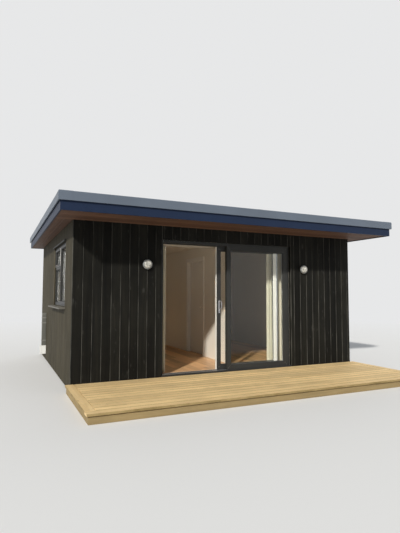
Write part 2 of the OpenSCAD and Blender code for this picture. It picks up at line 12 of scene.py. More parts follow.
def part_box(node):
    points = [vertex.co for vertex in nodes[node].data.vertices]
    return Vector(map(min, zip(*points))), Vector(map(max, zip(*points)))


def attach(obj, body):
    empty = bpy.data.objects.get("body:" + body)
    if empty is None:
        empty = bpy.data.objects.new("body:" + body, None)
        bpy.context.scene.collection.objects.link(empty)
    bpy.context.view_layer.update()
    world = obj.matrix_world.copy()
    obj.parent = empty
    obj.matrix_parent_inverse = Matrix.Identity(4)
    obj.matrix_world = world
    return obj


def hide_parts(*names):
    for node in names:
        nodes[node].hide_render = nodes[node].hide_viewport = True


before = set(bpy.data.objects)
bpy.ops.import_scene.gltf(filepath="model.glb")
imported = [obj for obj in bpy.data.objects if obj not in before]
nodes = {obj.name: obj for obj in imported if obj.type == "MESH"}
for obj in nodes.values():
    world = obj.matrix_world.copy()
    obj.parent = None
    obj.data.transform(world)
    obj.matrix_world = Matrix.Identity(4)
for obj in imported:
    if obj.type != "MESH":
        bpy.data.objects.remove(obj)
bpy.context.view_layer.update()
scene = bpy.context.scene
MM = 0.001
rng = random.Random(7)
tone = rng.random


def added(name, data):
    """Puts a mesh, lamp or camera in the scene."""
    made = bpy.data.objects.new(name, data)
    scene.collection.objects.link(made)
    return made


def place_camera():
    """The photograph's viewpoint, from a fit of the building's edges."""
    heading, tilt, roll = -25.01, 3.65, 0.14
    place = Matrix.Translation((-3.563, -7.868, 1.399))
    for turn, axis in ((heading, "Z"), (90 + tilt, "X"), (roll, "Z")):
        place = place @ Matrix.Rotation(radians(turn), 4, axis)
    data = bpy.data.cameras.new("camera")
    data.sensor_width = 36
    data.lens = 29.3
    scene.camera = added("camera", data)
    scene.camera.matrix_world = place


place_camera()


def mm(*values):
    """Millimetres to metres."""
    return tuple(v * MM for v in values)


def section(points, place, flip=(1, 1)):
    """A section in millimetres, mirrored by scales of -1 and moved to a place in metres."""
    return [(place[0] + flip[0] * a * MM, place[1] + flip[1] * b * MM) for a, b in points]


def swapped(points):
    return [(b, a) for a, b in points]


def two_faced(half, thickness):
    """A section from its outer half, which is mirrored for the inner face."""
    return half + [(a, thickness - d) for a, d in reversed(half)]


def upright(node, axis):
    """The upright rectangle (u0, z0, u1, z1) that a node's box fills along axis 0 or 1."""
    low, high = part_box(node)
    return low[axis], low.z, high[axis], high.z


def spot(axis, at, first, second=0.0):
    """A point from its place along an axis and its two other numbers, in their order."""
    place = [first, second]
    place.insert(axis, at)
    return place


def spaced(start, end, count):
    """Numbers at equal steps from one to another."""
    return [start + (end - start) * i / (count - 1) for i in range(count)]


def circle(centre, radius, start, end, steps):
    """Points on a circle from one angle to another, in degrees."""
    turns = [radians(turn) for turn in spaced(start, end, steps + 1)]
    return [(centre[0] + radius * cos(t), centre[1] + radius * sin(t)) for t in turns]


def band_round(centre, radius, inner, outer, start, end):
    """The outline of a strap round a pipe. Its faces lie outside the radius by inner and outer, in mm."""
    return (circle(centre, radius + outer * MM, start, end, 20)
            + circle(centre, radius + inner * MM, end, start, 20))


class Shape:
    """Collects faces for one mesh. Each face carries a tone, which its material reads to tell boards
    apart, and a mark, 1 on faces with a coloured foil and on board faces that take a colour of their own:
    a painted highlight on the cladding's lit chamfers, and darker edges and painted shade on the deck."""

    def __init__(self):
        self.points = []
        self.faces = []
        self.tones = []
        self.marks = []

    def add(self, points, faces, tone=0.5, marks=None):
        start = len(self.points)
        self.points += [tuple(p) for p in points]
        self.faces += [tuple(start + i for i in f) for f in faces]
        self.tones += [tone] * len(faces)
        self.marks += marks or [0.0] * len(faces)

    def tube(self, rings, tone=0.5, marked=()):
        """Joins rings of points, one after another, and caps both ends. marked lists the edges of a ring,
        by their first point, whose faces get the mark."""
        count = len(rings[0])
        last = count * (len(rings) - 1)
        faces, marks = [], []
        for a in range(0, last, count):
            for i in range(count):
                j = (i + 1) % count
                faces.append((a + i, a + j, a + count + j, a + count + i))
                marks.append(float(i in marked))
        faces += [tuple(reversed(range(count))), tuple(range(last, last + count))]
        self.add([p for ring in rings for p in ring], faces, tone, marks + [0.0, 0.0])

    def prism(self, outline, axis, low, high, tone=0.5, marked=()):
        """An outline extruded along axis 0, 1 or 2. Its two numbers are the other axes, in order."""
        self.tube([[spot(axis, at, a, b) for a, b in outline] for at in (low, high)], tone, marked)

    def box(self, corner, opposite, tone=0.5):
        (x0, x1), (y0, y1), (z0, z1) = (sorted(pair) for pair in zip(corner, opposite))
        self.prism([(x0, y0), (x1, y0), (x1, y1), (x0, y1)], 2, z0, z1, tone)

    def mitred(self, profile, rect, face, axis, marked=((),), gap=0.25):
        """Four mitred members round an upright rectangle (u0, z0, u1, z1), which runs along axis 0 or 1.
        The profile's points are (inward, depth) in millimetres, and face is where depth 0 lies. marked
        has one set of edges, or four: foot, end, head, start."""
        u0, z0, u1, z1 = rect
        corners = [(u0, z0, 1, 1), (u1, z0, -1, 1), (u1, z1, -1, -1), (u0, z1, 1, -1)]
        for i, (du, dz) in enumerate(((1, 0), (0, 1), (-1, 0), (0, -1))):
            rings = []
            for (u, z, in_u, in_z), shift in ((corners[i], gap * MM), (corners[(i + 1) % 4], -gap * MM)):
                rings.append([spot(axis, u + in_u * inward * MM + du * shift, face + depth * MM,
                                   z + in_z * inward * MM + dz * shift) for inward, depth in profile])
            self.tube(rings, marked=marked[i % len(marked)])

    def sweep(self, profile, path):
        """A section of (outward, height) points in metres, carried along a level path of (x, y) points
        and mitred at its corners. Outward is to the right of the way the path runs."""
        sides = []
        for start, end in zip(path, path[1:]):
            way = Vector(end) - Vector(start)
            sides.append(Vector((way.y, -way.x)).normalized())
        rings = []
        for i, (x, y) in enumerate(path):
            beside = sides[max(i - 1, 0):i + 1]
            across = sum(beside, Vector((0.0, 0.0)))
            across *= len(beside) / across.dot(across)
            rings.append([(x + across.x * out, y + across.y * out, height) for out, height in profile])
        self.tube(rings)

    def lathe(self, profile, centre, axis, steps):
        """A profile of (radius, distance along axis) points in millimetres, turned round an axis through
        centre. Its first and last points lie on the axis, or it is a closed ring."""
        along = Vector(axis)
        across = along.orthogonal().normalized()
        other = along.cross(across)
        points, rings = [], []
        for radius, distance in profile:
            middle = Vector(centre) + along * (distance * MM)
            turns = [2 * pi * i / steps for i in range(steps if radius else 1)]
            rings.append([len(points) + i for i in range(len(turns))])
            points += [middle + (across * cos(t) + other * sin(t)) * (radius * MM) for t in turns]
        pairs = list(zip(rings, rings[1:]))
        if profile[0][0] and profile[-1][0]:
            pairs.append((rings[-1], rings[0]))
        faces = []
        for a, b in pairs:
            for i in range(steps):
                j = i + 1
                corners = (a[i % len(a)], b[i % len(b)], b[j % len(b)], a[j % len(a)])
                faces.append(tuple(dict.fromkeys(corners)))
        self.add(points, faces)

    def piece(self, name, material, slot=None, bevel=0.0, body="pod", replaces=(), smooth=False, segments=2):
        """Turns the faces into an object that rides on a body. bevel is in millimetres."""
        mesh = bpy.data.meshes.new(name)
        mesh.from_pydata(self.points, [], self.faces)
        for label, values in (("tone", self.tones), ("mark", self.marks)):
            mesh.attributes.new(label, "FLOAT", "FACE").data.foreach_set("value", values)
        turned = bmesh.new()
        turned.from_mesh(mesh)
        bmesh.ops.recalc_face_normals(turned, faces=turned.faces)
        turned.to_mesh(mesh)
        turned.free()
        if smooth:
            mesh.shade_smooth()
        mesh.materials.append(material)
        made = added(name, mesh)
        if bevel:
            soften(made, bevel, segments)
        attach(made, body)
        if replaces:
            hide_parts(*replaces)
        return made


def shapes(count):
    return [Shape() for _ in range(count)]


def soften(obj, width, segments):
    """Rounds the sharp edges of an object by a width in millimetres."""
    modifier = obj.modifiers.new("edges", "BEVEL")
    modifier.width = width * MM
    modifier.segments = segments
    modifier.limit_method = "ANGLE"
    modifier.angle_limit = radians(40)


def dress(node, material, edge=0.0, segments=2):
    """Gives a CAD node its finish, and rounds its edges where asked."""
    obj = nodes[node]
    obj.data.materials.clear()
    obj.data.materials.append(material)
    if edge:
        soften(obj, edge, segments)


class Nodes:
    """A node tree round one shader, with short ways to add to it."""

    def __init__(self, tree, shader, output, **sockets):
        self.tree = tree
        self.shader = tree.nodes[shader]
        self.output = tree.nodes[output]
        for socket, value in sockets.items():
            self.put(value, self.shader.inputs[socket.replace("_", " ")])

    def put(self, value, socket):
        if isinstance(value, bpy.types.NodeSocket):
            self.tree.links.new(value, socket)
        elif socket.type == "RGBA" and len(value) == 3:
            socket.default_value = (*value, 1)
        else:
            socket.default_value = value

    def node(self, kind, inputs=None, **settings):
        """A new node. inputs gives sockets, by name or number, a value or another node's output."""
        made = self.tree.nodes.new("ShaderNode" + kind)
        for key, value in settings.items():
            setattr(made, key, value)
        for socket, value in (inputs or {}).items():
            self.put(value, made.inputs[socket])
        return made

    def math(self, operation, a, b, clamp=False):
        return self.node("Math", {0: a, 1: b}, operation=operation, use_clamp=clamp).outputs[0]

    def rays(self, *kinds):
        """1 for rays of any of these kinds, and 0 for the others."""
        outputs = self.node("LightPath").outputs
        seen, *others = (outputs[f"Is {kind} Ray"] for kind in kinds)
        for other in others:
            seen = self.math("MAXIMUM", seen, other)
        return seen

    def give_way(self, amount, other):
        """Shows another shader in place of the tree's own, by an amount."""
        mixed = self.node("MixShader", {0: amount, 1: self.shader.outputs[0], 2: other.outputs[0]})
        self.put(mixed.outputs[0], self.output.inputs["Surface"])


class Finish(Nodes):
    """A procedural material in object coordinates."""

    def __init__(self, name, **sockets):
        self.material = bpy.data.materials.new(name)
        self.material.use_nodes = True
        super().__init__(self.material.node_tree, "Principled BSDF", "Material Output", **sockets)

    def attribute(self, name):
        return self.node("Attribute", attribute_name=name).outputs["Fac"]

    def coords(self, scale=(1, 1, 1), shift=None):
        """Object coordinates, stretched by scale, and moved by a per-face value so that boards differ."""
        made = self.node("Mapping", {"Vector": self.node("TexCoord").outputs["Object"], "Scale": scale})
        if shift is not None:
            moves = {i: self.math("MULTIPLY", shift, factor) for i, factor in enumerate((37.0, 53.0, 71.0))}
            self.put(self.node("CombineXYZ", moves).outputs[0], made.inputs["Location"])
        return made.outputs[0]

    def noise(self, stretch=(1, 1, 1), scale=1.0, detail=3.0, roughness=0.55, distortion=0.0, shift=None):
        return self.node("TexNoise", {"Vector": self.coords(stretch, shift), "Scale": scale, "Detail": detail,
                                      "Roughness": roughness, "Distortion": distortion}).outputs["Fac"]

    def band(self, value, to_low=0.0, to_high=1.0, low=0.3, high=0.7):
        """Spreads a value from low and high to two others."""
        return self.node("MapRange", {"Value": value, "From Min": low, "From Max": high, "To Min": to_low,
                                      "To Max": to_high}).outputs["Result"]

    def mix(self, amount, a, b, blend="MIX"):
        return self.node("Mix", {"Factor": amount, "A": a, "B": b}, data_type="RGBA",
                         blend_type=blend).outputs["Result"]

    def uneven(self, value, colour, low, high):
        """A colour that a value makes darker or lighter."""
        return self.mix(self.band(value), scaled(colour, low), scaled(colour, high))

    def surface(self, colour, roughness, height, strength, distance):
        """Sets the colour, roughness and bump, and gives the material."""
        bump = self.node("Bump", {"Height": height, "Strength": strength, "Distance": distance})
        for value, socket in ((colour, "Base Color"), (roughness, "Roughness"), (bump.outputs[0], "Normal")):
            self.put(value, self.shader.inputs[socket])
        return self.material


def scaled(colour, factor):
    return tuple(min(1.0, c * factor) for c in colour)


def timber(name, light, dark, grain=2, rough=(0.6, 0.8), contrast=0.6, per_board=0.5, relief=0.6, knots=0.0,
           painted_edge_light_and_shade=None, rub=0.15, mottle=0.0, scuffs=None, **sockets):
    """Wood with its grain along an axis. Each board, told by its tone, has its own shade and grain."""
    f = Finish(name, **sockets)
    tone = f.attribute("tone")

    def stretched(across, along):
        scale = [across] * 3
        scale[grain] = along
        return scale

    broad = f.noise(stretched(14.0, 0.55), 1.0, 3.0, 0.6, 1.2, tone)
    strands = f.noise(stretched(70.0, 10.0), 1.0, 5.0, 0.7, 0.3, tone)
    figure = f.math("ADD", f.math("MULTIPLY", broad, 0.65), f.math("MULTIPLY", strands, 0.35))
    spread = 0.15 / contrast
    base = f.mix(f.band(figure, 0.0, 1.0, 0.5 - spread, 0.5 + spread), dark, light)
    shade = f.band(tone, 1.0 - per_board * 0.5, 1.0 + per_board * 0.5, 0.0, 1.0)
    base = f.mix(1.0, base, shade, "MULTIPLY")
    if mottle:
        patches = f.noise((2.2, 2.2, 1.4), 1.0, 4.0, 0.65)
        base = f.mix(1.0, base, f.band(patches, 1.0 - mottle, 1.0 + mottle), "MULTIPLY")
    if knots:
        cells = f.node("TexVoronoi", {"Vector": f.coords(stretched(5.0, 1.9), tone), "Scale": 1.0})
        spots = f.math("MULTIPLY", f.band(cells.outputs["Distance"], 1.0, 0.0, 0.02, 0.085), knots)
        base = f.mix(spots, base, scaled(dark, 0.35))
    if scuffs:
        specks = f.band(f.noise((16, 16, 5), 1.0, 2.0), 0.0, 0.45, 0.66, 0.78)
        base = f.mix(specks, base, scuffs)
    # Marked faces take a colour of their own in uneven patches: on the cladding a painted highlight on the
    # chamfer that faces the key light, on the deck darker board edges and painted shade on the outer side
    # faces.
    if painted_edge_light_and_shade:
        patches = f.band(f.noise((3, 3, 1.2), 2.0, shift=tone), rub, 1.0, 0.35, 0.7)
        base = f.mix(f.math("MULTIPLY", f.attribute("mark"), patches, True), base, painted_edge_light_and_shade)
    return f.surface(base, f.band(strands, *rough), figure, relief, 0.002)


def paint(name, colour, rough=0.5, variation=0.06, relief=0.15, scale=60.0, **sockets):
    """A painted or moulded surface with slight unevenness."""
    f = Finish(name, **sockets)
    large = f.noise(scale=1.7)
    return f.surface(f.uneven(large, colour, 1 - variation, 1 + variation),
                     f.band(large, rough - 0.05, rough + 0.07), f.noise(scale=scale), relief, 0.0006)


def foiled_plastic(name, outside, inside, **sockets):
    """A moulded plastic profile, pale where its faces have no mark and foiled in a colour where they do."""
    f = Finish(name, **sockets)
    large, foil = f.noise(scale=2.0), f.noise((120, 120, 6))
    colour = f.mix(f.attribute("mark"), f.uneven(large, inside, 0.97, 1.02),
                   f.uneven(large, outside, 0.88, 1.14))
    return f.surface(colour, f.band(foil, 0.35, 0.48), foil, 0.12, 0.0005)


def ribbed_lens(name, light, dark):
    """Pressed glass, lighter and darker in cloudy patches: painted glints and painted shade, in place of
    those that light gives its ribs.
    """
    f = Finish(name, Coat_Weight=0.5)
    cloud = f.noise((30, 30, 30), roughness=0.6)
    colour = f.mix(f.band(cloud, low=0.35, high=0.65), dark, light)
    return f.surface(colour, f.band(cloud, 0.15, 0.4), cloud, 0.2, 0.001)


def clear_glass(name, tint):
    """Window glass. Shadow and diffuse rays pass straight through it, so that the room behind it is lit."""
    f = Finish(name, Base_Color=tint, IOR=1.2, Transmission_Weight=1.0)
    smear = f.noise((1.5, 1.5, 1.0), 2.5)
    f.put(f.band(smear, 0.0, 0.02, 0.35, 0.75), f.shader.inputs["Roughness"])
    f.give_way(f.rays("Shadow", "Diffuse"), f.node("BsdfTransparent", {"Color": tint}))
    return f.material


def woven_cloth(name, colour):
    """Cloth with crossed threads and uneven yarn."""
    f = Finish(name, Sheen_Weight=0.2)
    warp, weft = (f.node("TexWave", {"Vector": f.coords(), "Scale": 180.0, "Distortion": 0.6},
                         bands_direction=way).outputs["Fac"] for way in "XZ")
    weave = f.math("MULTIPLY", warp, weft)
    base = f.uneven(f.noise((30, 30, 1.5)), colour, 0.92, 1.05)
    base = f.mix(f.math("MULTIPLY", weave, 0.25), base, scaled(colour, 0.84))
    return f.surface(base, 0.85, weave, 0.25, 0.0006)


def polished_metal(name, colour, rough=0.12, brushed=0.0):
    """Bare metal with fine marks, wider and rougher ones where it is brushed."""
    f = Finish(name, Metallic=1.0)
    marks = f.noise((400, 400, 8))
    return f.surface(f.uneven(marks, colour, 0.92, 1.0), f.band(marks, rough, rough + 0.08 + brushed), marks,
                     0.05 + brushed, 0.0003)


# Timber. Where there are two of a kind, the first has its grain along X and the second along Y.
DULL = {"Specular_IOR_Level": 0.1}
# Front, right and back walls. The lighter colour of the marked chamfer is a painted highlight, where the key
# light catches one side of each V-joint.
cladding_front = timber("cladding_front_stain", (0.0155, 0.0148, 0.0115), (0.0045, 0.0047, 0.0045),
                        contrast=0.85, per_board=0.7, painted_edge_light_and_shade=(0.085, 0.084, 0.074), mottle=0.3,
                        scuffs=(0.06, 0.059, 0.053), **DULL)
# The left wall: the same dark stain painted lighter and more olive, as painted sheen and painted sunlight at
# a grazing view, and its marked chamfer takes a painted highlight.
cladding_side = timber("cladding_side_stain", (0.064, 0.055, 0.035), (0.031, 0.027, 0.017), contrast=0.7,
                       per_board=0.35, relief=0.5, painted_edge_light_and_shade=(0.13, 0.118, 0.092), mottle=0.16, **DULL)
# The deck's marked edge colour darkens the boards' eased edges, and on their outer side faces it is painted
# shade.
DECK_LIGHT, DECK_DARK, DECK_EDGE_AND_SHADE = (0.89, 0.67, 0.355), (0.61, 0.425, 0.195), (0.22, 0.155, 0.055)
DECK_LOOK = {"contrast": 0.7, "per_board": 0.26, "relief": 0.45, "knots": 0.5, "mottle": 0.1, "rub": 0.75}
deck_timber = timber("deck_timber_top", DECK_LIGHT, DECK_DARK, 0, painted_edge_light_and_shade=DECK_EDGE_AND_SHADE, **DECK_LOOK)
border_timber = timber("deck_timber_border", scaled(DECK_LIGHT, 0.9), scaled(DECK_DARK, 0.95), 1,
                       painted_edge_light_and_shade=DECK_EDGE_AND_SHADE, **DECK_LOOK)
# The skirt boards are painted dark as shade, set back under the boards' edges.
skirt_timber_painted_shade = [timber(f"deck_skirt_{side}timber", (0.34, 0.25, 0.115), (0.21, 0.15, 0.065), grain,
                       **DECK_LOOK) for grain, side in enumerate(("", "end_"))]
soffit_timber = [timber(f"soffit_{side}boards_stain", (0.175, 0.098, 0.064), (0.086, 0.048, 0.034), grain,
                        (0.5, 0.68), contrast=0.55, per_board=0.35, relief=0.35, mottle=0.08, **DULL)
                 for grain, side in enumerate(("", "side_"))]
# The fascia's dark blue is its paint darkened and tinted by painted shade and painted sky reflection, as it
# lies under the trim's overhang.
fascia_paint_and_shade = [timber(f"fascia_{side}satin_paint", (0.013, 0.024, 0.056), (0.009, 0.017, 0.041), grain,
                        (0.4, 0.52), contrast=0.35, per_board=0.1, relief=0.12, mottle=0.08,
                        Specular_IOR_Level=0.15) for grain, side in enumerate(("", "side_"))]
frame_timber = timber("sawn_frame_timber", (0.42, 0.33, 0.17), (0.24, 0.18, 0.085), 0, (0.7, 0.85),
                      knots=0.4, mottle=0.12)
oak_floor = timber("oak_floor_boards", (0.85, 0.53, 0.27), (0.52, 0.285, 0.135), 1, (0.32, 0.45),
                   relief=0.2, knots=0.3)

# Paint, plastic and rubber, with their roughness, unevenness, relief and the fineness of the relief.
trim_finish = paint("roof_trim_coating", (0.104, 0.128, 0.165), 0.42, 0.06, 0.1, 35.0,
                    Specular_IOR_Level=0.35)
membrane_finish = paint("roof_rubber_sheet", (0.055, 0.058, 0.062), 0.75, 0.2, 0.4, 25.0)
wall_paint = paint("wall_cream_emulsion", (0.80, 0.75, 0.66), 0.72, 0.02, 0.25, 110.0)
ceiling_paint = paint("ceiling_cream_emulsion", (0.82, 0.78, 0.70), 0.75, 0.02, 0.2, 110.0)
joinery_paint = paint("joinery_white_satin", (0.82, 0.79, 0.73), 0.4, 0.02, 0.12, 45.0)
panel_board = paint("roof_panel_board", (0.42, 0.35, 0.23), 0.8, 0.15, 0.5, 30.0)
ANTHRACITE, INNER_WHITE, SATIN = (0.033, 0.034, 0.033), (0.80, 0.79, 0.75), {"Specular_IOR_Level": 0.18}
frame_plastic = foiled_plastic("door_and_window_foil", ANTHRACITE, INNER_WHITE, **SATIN)
dark_plastic = paint("anthracite_plastic", ANTHRACITE, 0.42, 0.08, 0.12, 120.0, **SATIN)
gutter_finish = paint("gutter_anthracite_plastic", (0.03, 0.033, 0.038), 0.4, 0.08, 0.08, 80.0)
sill_finish = paint("window_sill_grey", (0.12, 0.112, 0.094), 0.5, 0.08)
seal_rubber = paint("black_seal_rubber", (0.012, 0.012, 0.013), 0.65, 0.15, 0.2, 90.0)
duct_finish = paint("duct_grey_plastic", (0.115, 0.115, 0.10), 0.5, 0.08)
clip_finish = paint("duct_clip_pale_plastic", (0.20, 0.195, 0.18))
white_plastic = paint("white_plastic", (0.80, 0.80, 0.77), 0.35, 0.02, 0.06)
track_finish = paint("curtain_rail_beige", (0.40, 0.34, 0.26), 0.4, 0.04, 0.08)
rim_finish = paint("light_rim_grey", (0.20, 0.21, 0.21), 0.4, 0.04, 0.1)

# Glass, cloth and metal.
lens_finish = ribbed_lens("opal_lens_glass", (0.68, 0.66, 0.60), (0.22, 0.22, 0.20))
glass_finish = clear_glass("window_glass_clear", (0.984, 0.989, 0.983))
curtain_cloth = woven_cloth("curtain_cream_cloth", (0.70, 0.66, 0.54))
chrome = polished_metal("handle_chrome", (0.80, 0.81, 0.82))
handle_metal = polished_metal("handle_satin_metal", (0.50, 0.495, 0.50), 0.2)
aluminium = polished_metal("track_aluminium", (0.62, 0.63, 0.64), 0.32, 0.12)
steel_screw = polished_metal("screw_steel", (0.42, 0.42, 0.41), 0.38)


def screw_head(shape, place, axis, r=4.2, proud=0.3):
    """A countersunk screw with a round recess, in millimetres."""
    shape.lathe([(0, -2), (r, -1), (r, proud), (r * 0.52, proud), (r * 0.38, proud - 0.9), (0, proud - 0.9)],
                place, axis, 8)


def nail_head(shape, place, axis):
    shape.lathe([(0, 0.9), (2.2, 0.7), (2.8, -0.5), (0, -0.5)], place, axis, 8)


def board_outline(start, end, face, back, chamfer, gap, far_chamfer=None):
    """The section of one V-jointed board: (across, depth) points. Its edges 1 and 3 are chamfers."""
    inward = 1 if back > face else -1
    far = far_chamfer or chamfer
    return [(start + gap, back), (start + gap, face + inward * chamfer), (start + gap + chamfer, face),
            (end - gap - far, face), (end - gap, face + inward * far), (end - gap, back)]


def wall_box(node, axis, outward):
    """A node's box, and where its outer and inner faces lie. It runs along an axis, and looks outward,
    -1 or 1, along the other one."""
    low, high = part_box(node)
    return low, high, *(low[1 - axis], high[1 - axis])[::-outward]


BOARD_W, FIRST_BOARD_W, LEAST_LAST_W, LEAST_W, LEAST_LENGTH = mm(139, 149, 40, 4, 10)
BOARD_T, BOARD_GAP, CHAMFER, FAR_CHAMFER = mm(20, 1.1, 9, 3.5)
NAILED_W, NAIL_INSET = mm(90, 30)
BATTENS = 5
BATTEN_W, BATTEN_FOOT, BATTEN_HEAD, BATTEN_INSET = mm(50, 180, 80, 38)


def joints_between(start, end):
    """Places of the joints between boards from one corner to the other."""
    places = [start]
    at = start + FIRST_BOARD_W
    while at < end - LEAST_LAST_W:
        places.append(at)
        at += BOARD_W
    return places + [end]


def clad_wall(side, axis, outward, material, slot, hole=None):
    """Boards of one wall with their battens and nails. hole is the upright rectangle of an opening."""
    node = side + "_cladding"
    low, high, face, inner = wall_box(node, axis, outward)
    back = face - outward * BOARD_T
    boards, nails = shapes(2)
    levels = spaced(low.z + BATTEN_FOOT, high.z - BATTEN_HEAD, BATTENS)
    whole, way = [(low.z, high.z)], spot(axis, 0, outward)
    places = joints_between(low[axis], high[axis])
    for start, end in zip(places, places[1:]):
        parts = [(start, end, whole)]
        if hole:
            left, under, right, over = hole
            parts = [(start, min(end, left), whole),
                     (max(start, left), min(end, right), [(low.z, under), (over, high.z)]),
                     (max(start, right), end, whole)]
        shade = tone()
        for a, b, spans in parts:
            if b - a < LEAST_W:
                continue
            ease = min(1.0, (b - a) / (4 * CHAMFER))
            outline = board_outline(a, b, face, back, CHAMFER * ease, BOARD_GAP, FAR_CHAMFER * ease)
            for foot, head in spans:
                if head - foot < LEAST_LENGTH:
                    continue
                # Edge 1, the wide chamfer at each board's start, is marked for the painted highlight of its
                # finish.
                boards.prism(swapped(outline) if axis else outline, 2, foot, head, shade, (1,))
                for z in levels:
                    if b - a > NAILED_W and foot < z < head - BATTEN_W:
                        for along in (a + NAIL_INSET, b - NAIL_INSET):
                            nail_head(nails, spot(axis, along, face, z + BATTEN_W / 2), way)
    add_battens(boards, levels, low, high, axis, back, inner, hole)
    if hole:
        add_reveal(boards, axis, back, inner, *hole)
    boards.piece(node + "_boards", material, slot, 0.8, replaces=[node], segments=1)
    nails.piece(node + "_nails", material, slot, smooth=True)


def add_battens(shape, levels, low, high, axis, back, inner, hole):
    """Level battens behind the boards, cut at the opening."""
    inset = BATTEN_INSET if axis else BOARD_T
    for level in levels:
        start, end = low[axis] + inset, high[axis] - inset
        runs = [(start, end)]
        if hole and level + BATTEN_W > hole[1] and level < hole[3]:
            runs = [(start, hole[0] - BOARD_T), (hole[2] + BOARD_T, end)]
        for a, b in runs:
            shape.box(spot(axis, a, back, level), spot(axis, b, inner, level + BATTEN_W), 0.3)


def add_reveal(shape, axis, back, inner, start, foot, end, head):
    """Boards that line the outer reveal of an opening."""
    t = BOARD_T
    for a, b, z0, z1 in ((start - t, start, foot - t, head + t), (end, end + t, foot - t, head + t),
                         (start, end, head, head + t), (start, end, foot - t, foot)):
        shape.box(spot(axis, a, back, z0), spot(axis, b, inner, z1), 0.35)


def build_cladding():
    clad_wall("front", 0, -1, cladding_front, "cladding_front", upright("door_frame", 0))
    clad_wall("left", 1, -1, cladding_side, "cladding_side", upright("window_frame", 1))
    clad_wall("right", 1, 1, cladding_front, "cladding_front")
    clad_wall("back", 0, 1, cladding_front, "cladding_front")


def build_fascias():
    """Painted boards, butted where one length ends, with their nails."""
    butt, inset, spacing = 0.6 * MM, 40 * MM, 0.6
    for side, axis, outward, joint in (("front", 0, -1, 1.47), ("back", 0, 1, -0.35), ("left", 1, -1, 0.55),
                                       ("right", 1, 1, 0.55)):
        node, finish = "fascia_" + side, (fascia_paint_and_shade[axis], "fascia_paint")
        low, high, face, inner = wall_box(node, axis, outward)
        boards, nails = shapes(2)
        for start, end in ((low[axis], joint - butt), (joint + butt, high[axis])):
            boards.box(spot(axis, start, face, low.z), spot(axis, end, inner, high.z), tone())
            for along in spaced(start + inset, end - inset, max(2, round((end - start) / spacing))):
                for up in mm(28, 92):
                    nail_head(nails, spot(axis, along, face, low.z + up), spot(axis, 0, outward))
        boards.piece(node + "_boards", *finish, 1.5, replaces=[node])
        nails.piece(node + "_nails", *finish, smooth=True)


def trim_cover(top, foot):
    """Section of a thin cover that clips over the roof edge trim, from its inner lip to its foot."""
    def skin(out):
        corner = circle((0.012, top - 0.014), 0.014 + out, 90, 0, 6)
        return [(-0.073 - out, top - 0.020), (-0.073 - out, top + out), *corner, (0.026 + out, foot)]
    return skin(1.6 * MM) + skin(0.2 * MM)[::-1]


def build_roof():
    """The roof's plain parts, and covers over the corners and joints of its edge trims."""
    dress("roof_panel", panel_board)
    dress("roof_membrane", membrane_finish)
    for side in ("front", "left", "right"):
        dress("edge_trim_" + side, trim_finish)
    build_fascias()
    build_soffit()
    edge_low, edge_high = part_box("edge_trim_front")
    low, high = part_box("fascia_front")
    x, y = high.x, low.y
    leg, half, kerb = mm(150, 40, 70)
    front_joint, side_joint = 0.1, y + 2.5
    covers = Shape()
    for path in ([(-x, y + leg), (-x, y), (-x + leg, y)], [(x - leg, y), (x, y), (x, y + leg)],
                 [(front_joint - half, y), (front_joint + half, y)],
                 [(-x, side_joint + half), (-x, side_joint - half)],
                 [(x, side_joint - half), (x, side_joint + half)]):
        covers.sweep(trim_cover(edge_high.z, edge_low.z), path)
    covers.piece("edge_trim_covers", trim_finish, "trim_metal")
    build_membrane_laps(x - kerb, y + kerb, edge_high.z)


def build_membrane_laps(x, y, top):
    """The sheet turned up the kerbs, and the laps where its widths meet."""
    front_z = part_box("roof_membrane")[1].z
    fall, below, kerb_drop, sheet = mm(66, 8, 21, 2)
    back_y, back_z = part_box("roof_panel")[1].y, front_z - fall
    foot, head = back_z - below, top - kerb_drop
    laps = Shape()
    laps.sweep([(0, foot), (0, head), (sheet, head), (sheet, foot)],
               [(x, back_y), (x, y), (-x, y), (-x, back_y)])
    for at in (-1.4, 0.0, 1.4):
        for lift, width in (mm(1.2, 60), mm(2.2, 30)):
            laps.prism([(y, front_z - MM), (back_y, back_z - MM), (back_y, back_z + lift),
                        (y, front_z + lift)], 0, at - width, at + width * 0.4)
    laps.piece("roof_membrane_laps", membrane_finish, "membrane", 0.4)


def build_soffit():
    """Boards under the overhangs: along the front, and along each side."""
    board_w, chamfer, gap = mm(120, 3, 0.5)
    for side, axis in (("front", 0), ("left", 1), ("right", 1)):
        node = "soffit_" + side
        low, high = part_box(node)
        near, far = low[1 - axis], high[1 - axis]
        edges = spaced(near, far, round((far - near) / board_w) + 1)
        boards = Shape()
        for a, b in zip(edges, edges[1:]):
            outline = board_outline(a, b, low.z, high.z, chamfer, gap)
            boards.prism(outline, axis, low[axis], high[axis], tone())
        boards.piece(node + "_boards", soffit_timber[axis], "soffit_wood", replaces=[node])


